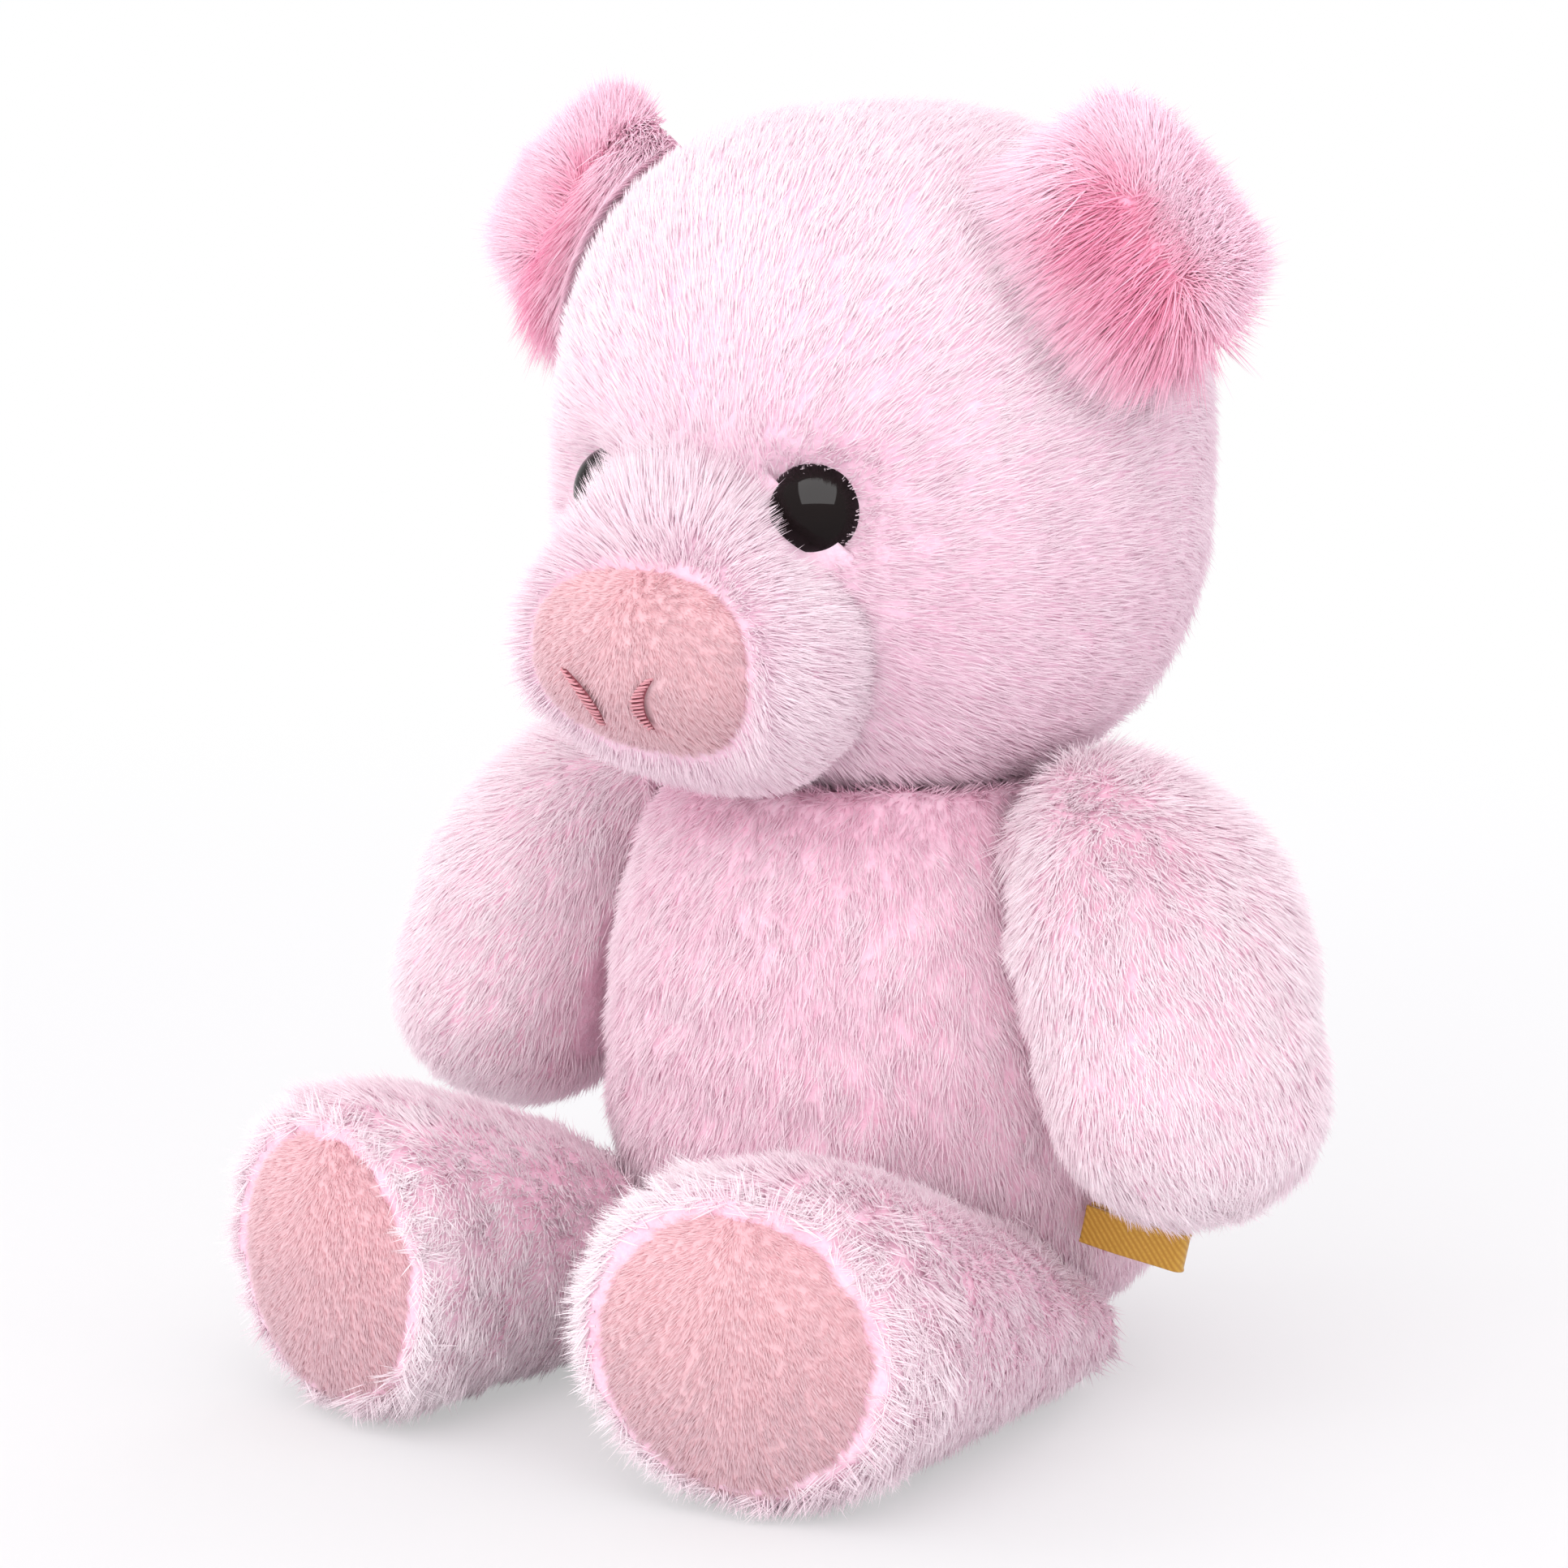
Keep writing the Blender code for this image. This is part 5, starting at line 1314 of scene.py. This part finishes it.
# %% Ear pile
def ear_flow(side, face):
    """Away from a short parting low on the ear: each strand runs from the parting's nearest point to its
    root."""
    root, along, out = ear_frame(side)
    low, high, level = (4 * MM, 17 * MM, 12 * MM) if face > 0 else (-8 * MM, 20 * MM, 1 * MM)
    def flow(points, normals):
        local = points - root
        a, b = local @ along, local @ out
        away = (a - np.clip(a, low, high))[:, None] * along + (b - level)[:, None] * out
        inner = ear_inner(side, points)[:, None]
        return unit((1 - inner) * unit(away) + inner * (0.25 * unit(away) - 0.6 * out - 0.8 * Z) - 0.15 * Z)
    return flow


def ear_inner(side, points):
    """1 from the ear's root up to its parting, easing to 0 some millimetres beyond."""
    root, _, out = ear_frame(side)
    return rise((13 * MM - (points - root) @ out) / (7 * MM))


def ear_length(side):
    """Long over the head and at the lower lobe, shorter past the outer rim."""
    root, along, out = ear_frame(side)
    def length(points):
        a, b = (points - root) @ along, (points - root) @ out
        return (6.4 + 10.6 * rise((13 * MM - b) / (9 * MM)) + 3.0 * rise((a - 14 * MM) / (8 * MM))) * MM
    return length


def ear_tone(side):
    """Pale at the rim, deep at the parting, partly from the roots that show there and partly as painted
    shade in the fold.
    """
    root, along, out = ear_frame(side)
    def tone(points):
        b = (points - root) @ out
        a = (points - root) @ along
        # the parting's deep tone is partly its showing roots and partly painted shade of the fold
        parting_roots_and_shade = np.exp(-((b - 9 * MM) / (4 * MM)) ** 2
                        - (np.maximum(np.abs(a - 10 * MM) - 8 * MM, 0) / (5 * MM)) ** 2)
        return (0.86 + 0.10 * rise((b - 12 * MM) / (12 * MM)) - 0.84 * parting_roots_and_shade
                + 0.12 * patches(points, 9 * MM, 111) + 0.08 * patches(points, 4 * MM, 112))
    return tone


# the shells are this share of the leaf's outline, because the pile runs on past them to the rim
EAR_SHRINK, FRONT_THICK, BACK_THICK = 0.72, 3.6 * MM, 2.6 * MM
for side, word in ((1, "left"), (-1, "right")):
    front = ear_grid(side, 1, EAR_SHRINK, FRONT_THICK)
    behind = ear_grid(side, -1, EAR_SHRINK, BACK_THICK)
    whole = np.concatenate([front, behind[::-1]])
    backing("ear_backing_" + word, whole, rose_knit, "ear_" + word,
            ("ear_" + word + "_front", "ear_" + word + "_back"))
    for face, leaf, grid, locks in ((1, "front", front, 4300), (-1, "back", behind, 2200)):
        root, along, out = ear_frame(side)
        keep = lambda points, normals, out=out, root=root: (points - root) @ out > -1.0 * MM
        lift = (lambda points, side=side: 30 + 28 * ear_inner(side, points)) if face > 0 else 26
        grow(f"ear_pile_{word}_{leaf}", grid, locks, STRANDS, 1.0 * MM, ear_length(side), lift, 0.34 * MM,
             ear_flow(side, face),
             ear_tone(side), ear_pile, "ear_" + word, 121 + 2 * side + face, keep, pull=0.35, wobble=0.18,
             clear=lambda tips: outside_head(tips, 3.2 * MM), facing=-2.0 * face * Y)

# %% [markdown]
# ## Tail
# The photograph doesn't show the back. Such a pig has a small curled tail of the body's own plush
# there, so the frame carries one, and its pile follows the curl.

# %% Tail
TAIL_HEIGHT, TAIL_COIL, TAIL_THICK = 30 * MM, 6 * MM, 1.5 * MM


def tail_line():
    """A short straight stem, then a coil that opens by a smooth step, as in the frame."""
    t = np.linspace(0, 1.2, 60)
    angle, ease = 2 * math.pi * t, rise(t / 0.25)
    root = np.array([0.0, torso_radius(np.array(TAIL_HEIGHT), 0.0) + 0.4 * MM, TAIL_HEIGHT])
    stem = root + np.linspace(0, 1, 8, endpoint=False)[:, None] * 6 * MM * Y
    turns = np.sin(angle)[:, None] * X + ((1 - np.cos(angle)) * ease)[:, None] * Z
    curl = root + (6 + 8.5 * t)[:, None] * MM * Y + TAIL_COIL * turns
    return np.concatenate([stem, curl])


line = tail_line()
way = unit(np.gradient(line, axis=0))
over = unit(np.cross(way, Z + 0.3 * X))
up = np.cross(over, way)
left = np.linspace(1, 0, len(line))
thick = TAIL_THICK * (0.55 + 0.45 * rise(left / 0.4))
thick[0] = 1.0 * MM
a = round_angles(24)[:, None]
tail_grid = line[:, None] + thick[:, None, None] * (np.cos(a) * over[:, None] + np.sin(a) * up[:, None])
backing("tail_backing", tail_grid, pink_knit, "tail", ("tail",))


def tail_flow(points, normals):
    """Along the tail's own line, from the nearest place on it."""
    nearest = np.argmin(((points[:, None] - line) ** 2).sum(-1), axis=1)
    return way[nearest]


grow("tail_pile", tail_grid, 900, STRANDS, 0.4 * MM, 4.2 * MM, 26, 0.36 * MM, tail_flow,
     lambda points: 0.45 + 0.1 * patches(points, 8 * MM, 131),
     body_pile, "tail", 132, wobble=0.15, sink=0.3 * MM)

# %% [markdown]
# ## Ribbon tab
# A mustard twill ribbon is folded once and caught in the flank seam. It is 6 mm wide and left bare.
# The twill runs at about 45 degrees to the ribbon, and a firmer selvedge edges both sides.

# %% Ribbon form
TAB_PLACE, TAB_DIRECTION, TAB_DROOP = (math.radians(v) for v in (-19, 15, 12))
TAB_WIDTH, TAB_LENGTH, TAB_BEND, TAB_HEIGHT = 6.2 * MM, 17.0 * MM, 1.2 * MM, 31.0 * MM
tab_out = np.array([math.cos(TAB_PLACE), math.sin(TAB_PLACE), 0.0])
tab_run = math.cos(TAB_DIRECTION) * X + math.sin(TAB_DIRECTION) * Y
tab_along = unit(tab_run * math.cos(TAB_DROOP) - math.sin(TAB_DROOP) * Z)
tab_side = unit(np.cross(tab_along, Z))
tab_edge = unit(np.cross(tab_side, tab_along))
tab_root = tab_out * (torso_radius(np.array(TAB_HEIGHT), 0.0) + 0.6 * MM) + TAB_HEIGHT * Z


def ribbon_mesh(name, rows=80, columns=26):
    """A band along a hairpin: two straight runs joined by a half circle, a wall thick, with thicker
    selvedges."""
    run = np.linspace(0, 1, rows)
    straight, turn = TAB_LENGTH - TAB_BEND, math.pi * TAB_BEND
    length = run * (2 * straight + turn)
    phase = np.clip((length - straight) / turn, 0, 1) * math.pi
    along = (np.where(length < straight, length,
                      np.where(length > straight + turn, 2 * straight + turn - length, straight))
             + TAB_BEND * np.sin(phase))
    across = TAB_BEND * np.cos(phase) + 0.25 * MM * np.sin(along / TAB_LENGTH * 5.0)
    normal = np.stack([np.sin(phase), np.cos(phase)], axis=-1)
    width = np.linspace(-0.5, 0.5, columns)
    wall = (0.25 + 0.12 * (np.abs(width) > 0.42)) * MM
    loops = []
    for sign, order in ((1, slice(None)), (-1, slice(None, None, -1))):
        middle = along[:, None, None] * tab_along + across[:, None, None] * tab_side
        push = normal[:, 0][:, None, None] * tab_along + normal[:, 1][:, None, None] * tab_side
        face = (tab_root + middle + sign * wall[None, :, None] * push
                + (width * TAB_WIDTH)[None, :, None] * tab_edge)
        loops.append(face[:, order])
    grid = np.concatenate(loops, axis=1)
    points, corners, sizes = closed_arrays(grid)
    u = np.concatenate([np.linspace(0.02, 0.49, columns), np.linspace(0.51, 0.98, columns)])
    uv = np.stack(np.broadcast_arrays(u[None, :], run[:, None]), axis=-1).reshape(-1, 2)
    uv = np.concatenate([uv, [[0.5, 0.0], [0.5, 1.0]]])
    mesh = fill_mesh(name, points, corners, sizes)
    layer = mesh.uv_layers.new(name="weave")
    layer.uv.foreach_set("vector", np.ascontiguousarray(uv[corners], np.float32).ravel())
    return mesh


# the UV map runs once round the band (12.6 mm) and once along it (about 34 mm), so these scales
# count in millimetres
TWILL_ROUND, TWILL_LONG = 12.6, 34.0
# tightly woven polyester: slanting ribs about 1 mm apart, with a painted silky sheen on the ribs and
# painted shade in the dark lines between
twill, tree, shader = new_material("polyester_twill_ribbon_mustard")
place = add_node(tree, "ShaderNodeUVMap", uv_map="weave")
scaled = add_node(tree, "ShaderNodeMapping", {"Vector": place.outputs[0]},
                  {"Scale": (TWILL_ROUND, TWILL_LONG, 1.0)})
rib_sheen_and_shade = add_node(tree, "ShaderNodeTexWave", {"Vector": scaled.outputs[0]},
                 {"Scale": 0.55, "Distortion": 0.4, "Detail": 1.0}, bands_direction="DIAGONAL")
grain = add_node(tree, "ShaderNodeTexNoise", {"Vector": scaled.outputs[0]}, {"Scale": 2.5, "Detail": 4.0})
both = add_node(tree, "ShaderNodeMath", {0: rib_sheen_and_shade.outputs[1], 1: grain.outputs[0]}, operation="MULTIPLY")
colour = add_node(tree, "ShaderNodeMix", {0: both.outputs[0]},
                  {MIX_A: hex_colour("#B98426"), MIX_B: hex_colour("#E6BB4E")}, data_type="RGBA")
tree.links.new(colour.outputs[MIX_RESULT], shader.inputs["Base Color"])
bump = add_node(tree, "ShaderNodeBump", {"Height": both.outputs[0]}, {"Strength": 0.6, "Distance": 0.15 * MM})
tree.links.new(bump.outputs[0], shader.inputs["Normal"])
shader.inputs["Roughness"].default_value = 0.5
shader.inputs["Sheen Weight"].default_value = 0.3
add_object("ribbon_tab", ribbon_mesh("ribbon_tab"), twill, "tab", ("side_tab",))
print("ribbon", round(2 * (TAB_LENGTH - TAB_BEND) * 1000 + math.pi * TAB_BEND * 1000, 1),
      "mm of ribbon before folding")

# %% [markdown]
# ## Sizes and finish
# The last step measures what is shown against the frame's own box, because pile may stand only a
# little past the covers that it dresses.

# %% Sizes and finish
shown_low, shown_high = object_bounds()
for axis, a, b, c, d in zip("xyz", cad_low, cad_high, shown_low, shown_high):
    # printed beside it: an allowance of 3 % of a side and 10 mm past the frame
    allowed = 0.03 * (b - a) + 10 * MM
    print(axis, "stands proud by", round(1000 * (a - c), 1), "and", round(1000 * (d - b), 1), "of",
          round(1000 * allowed, 1), "mm")
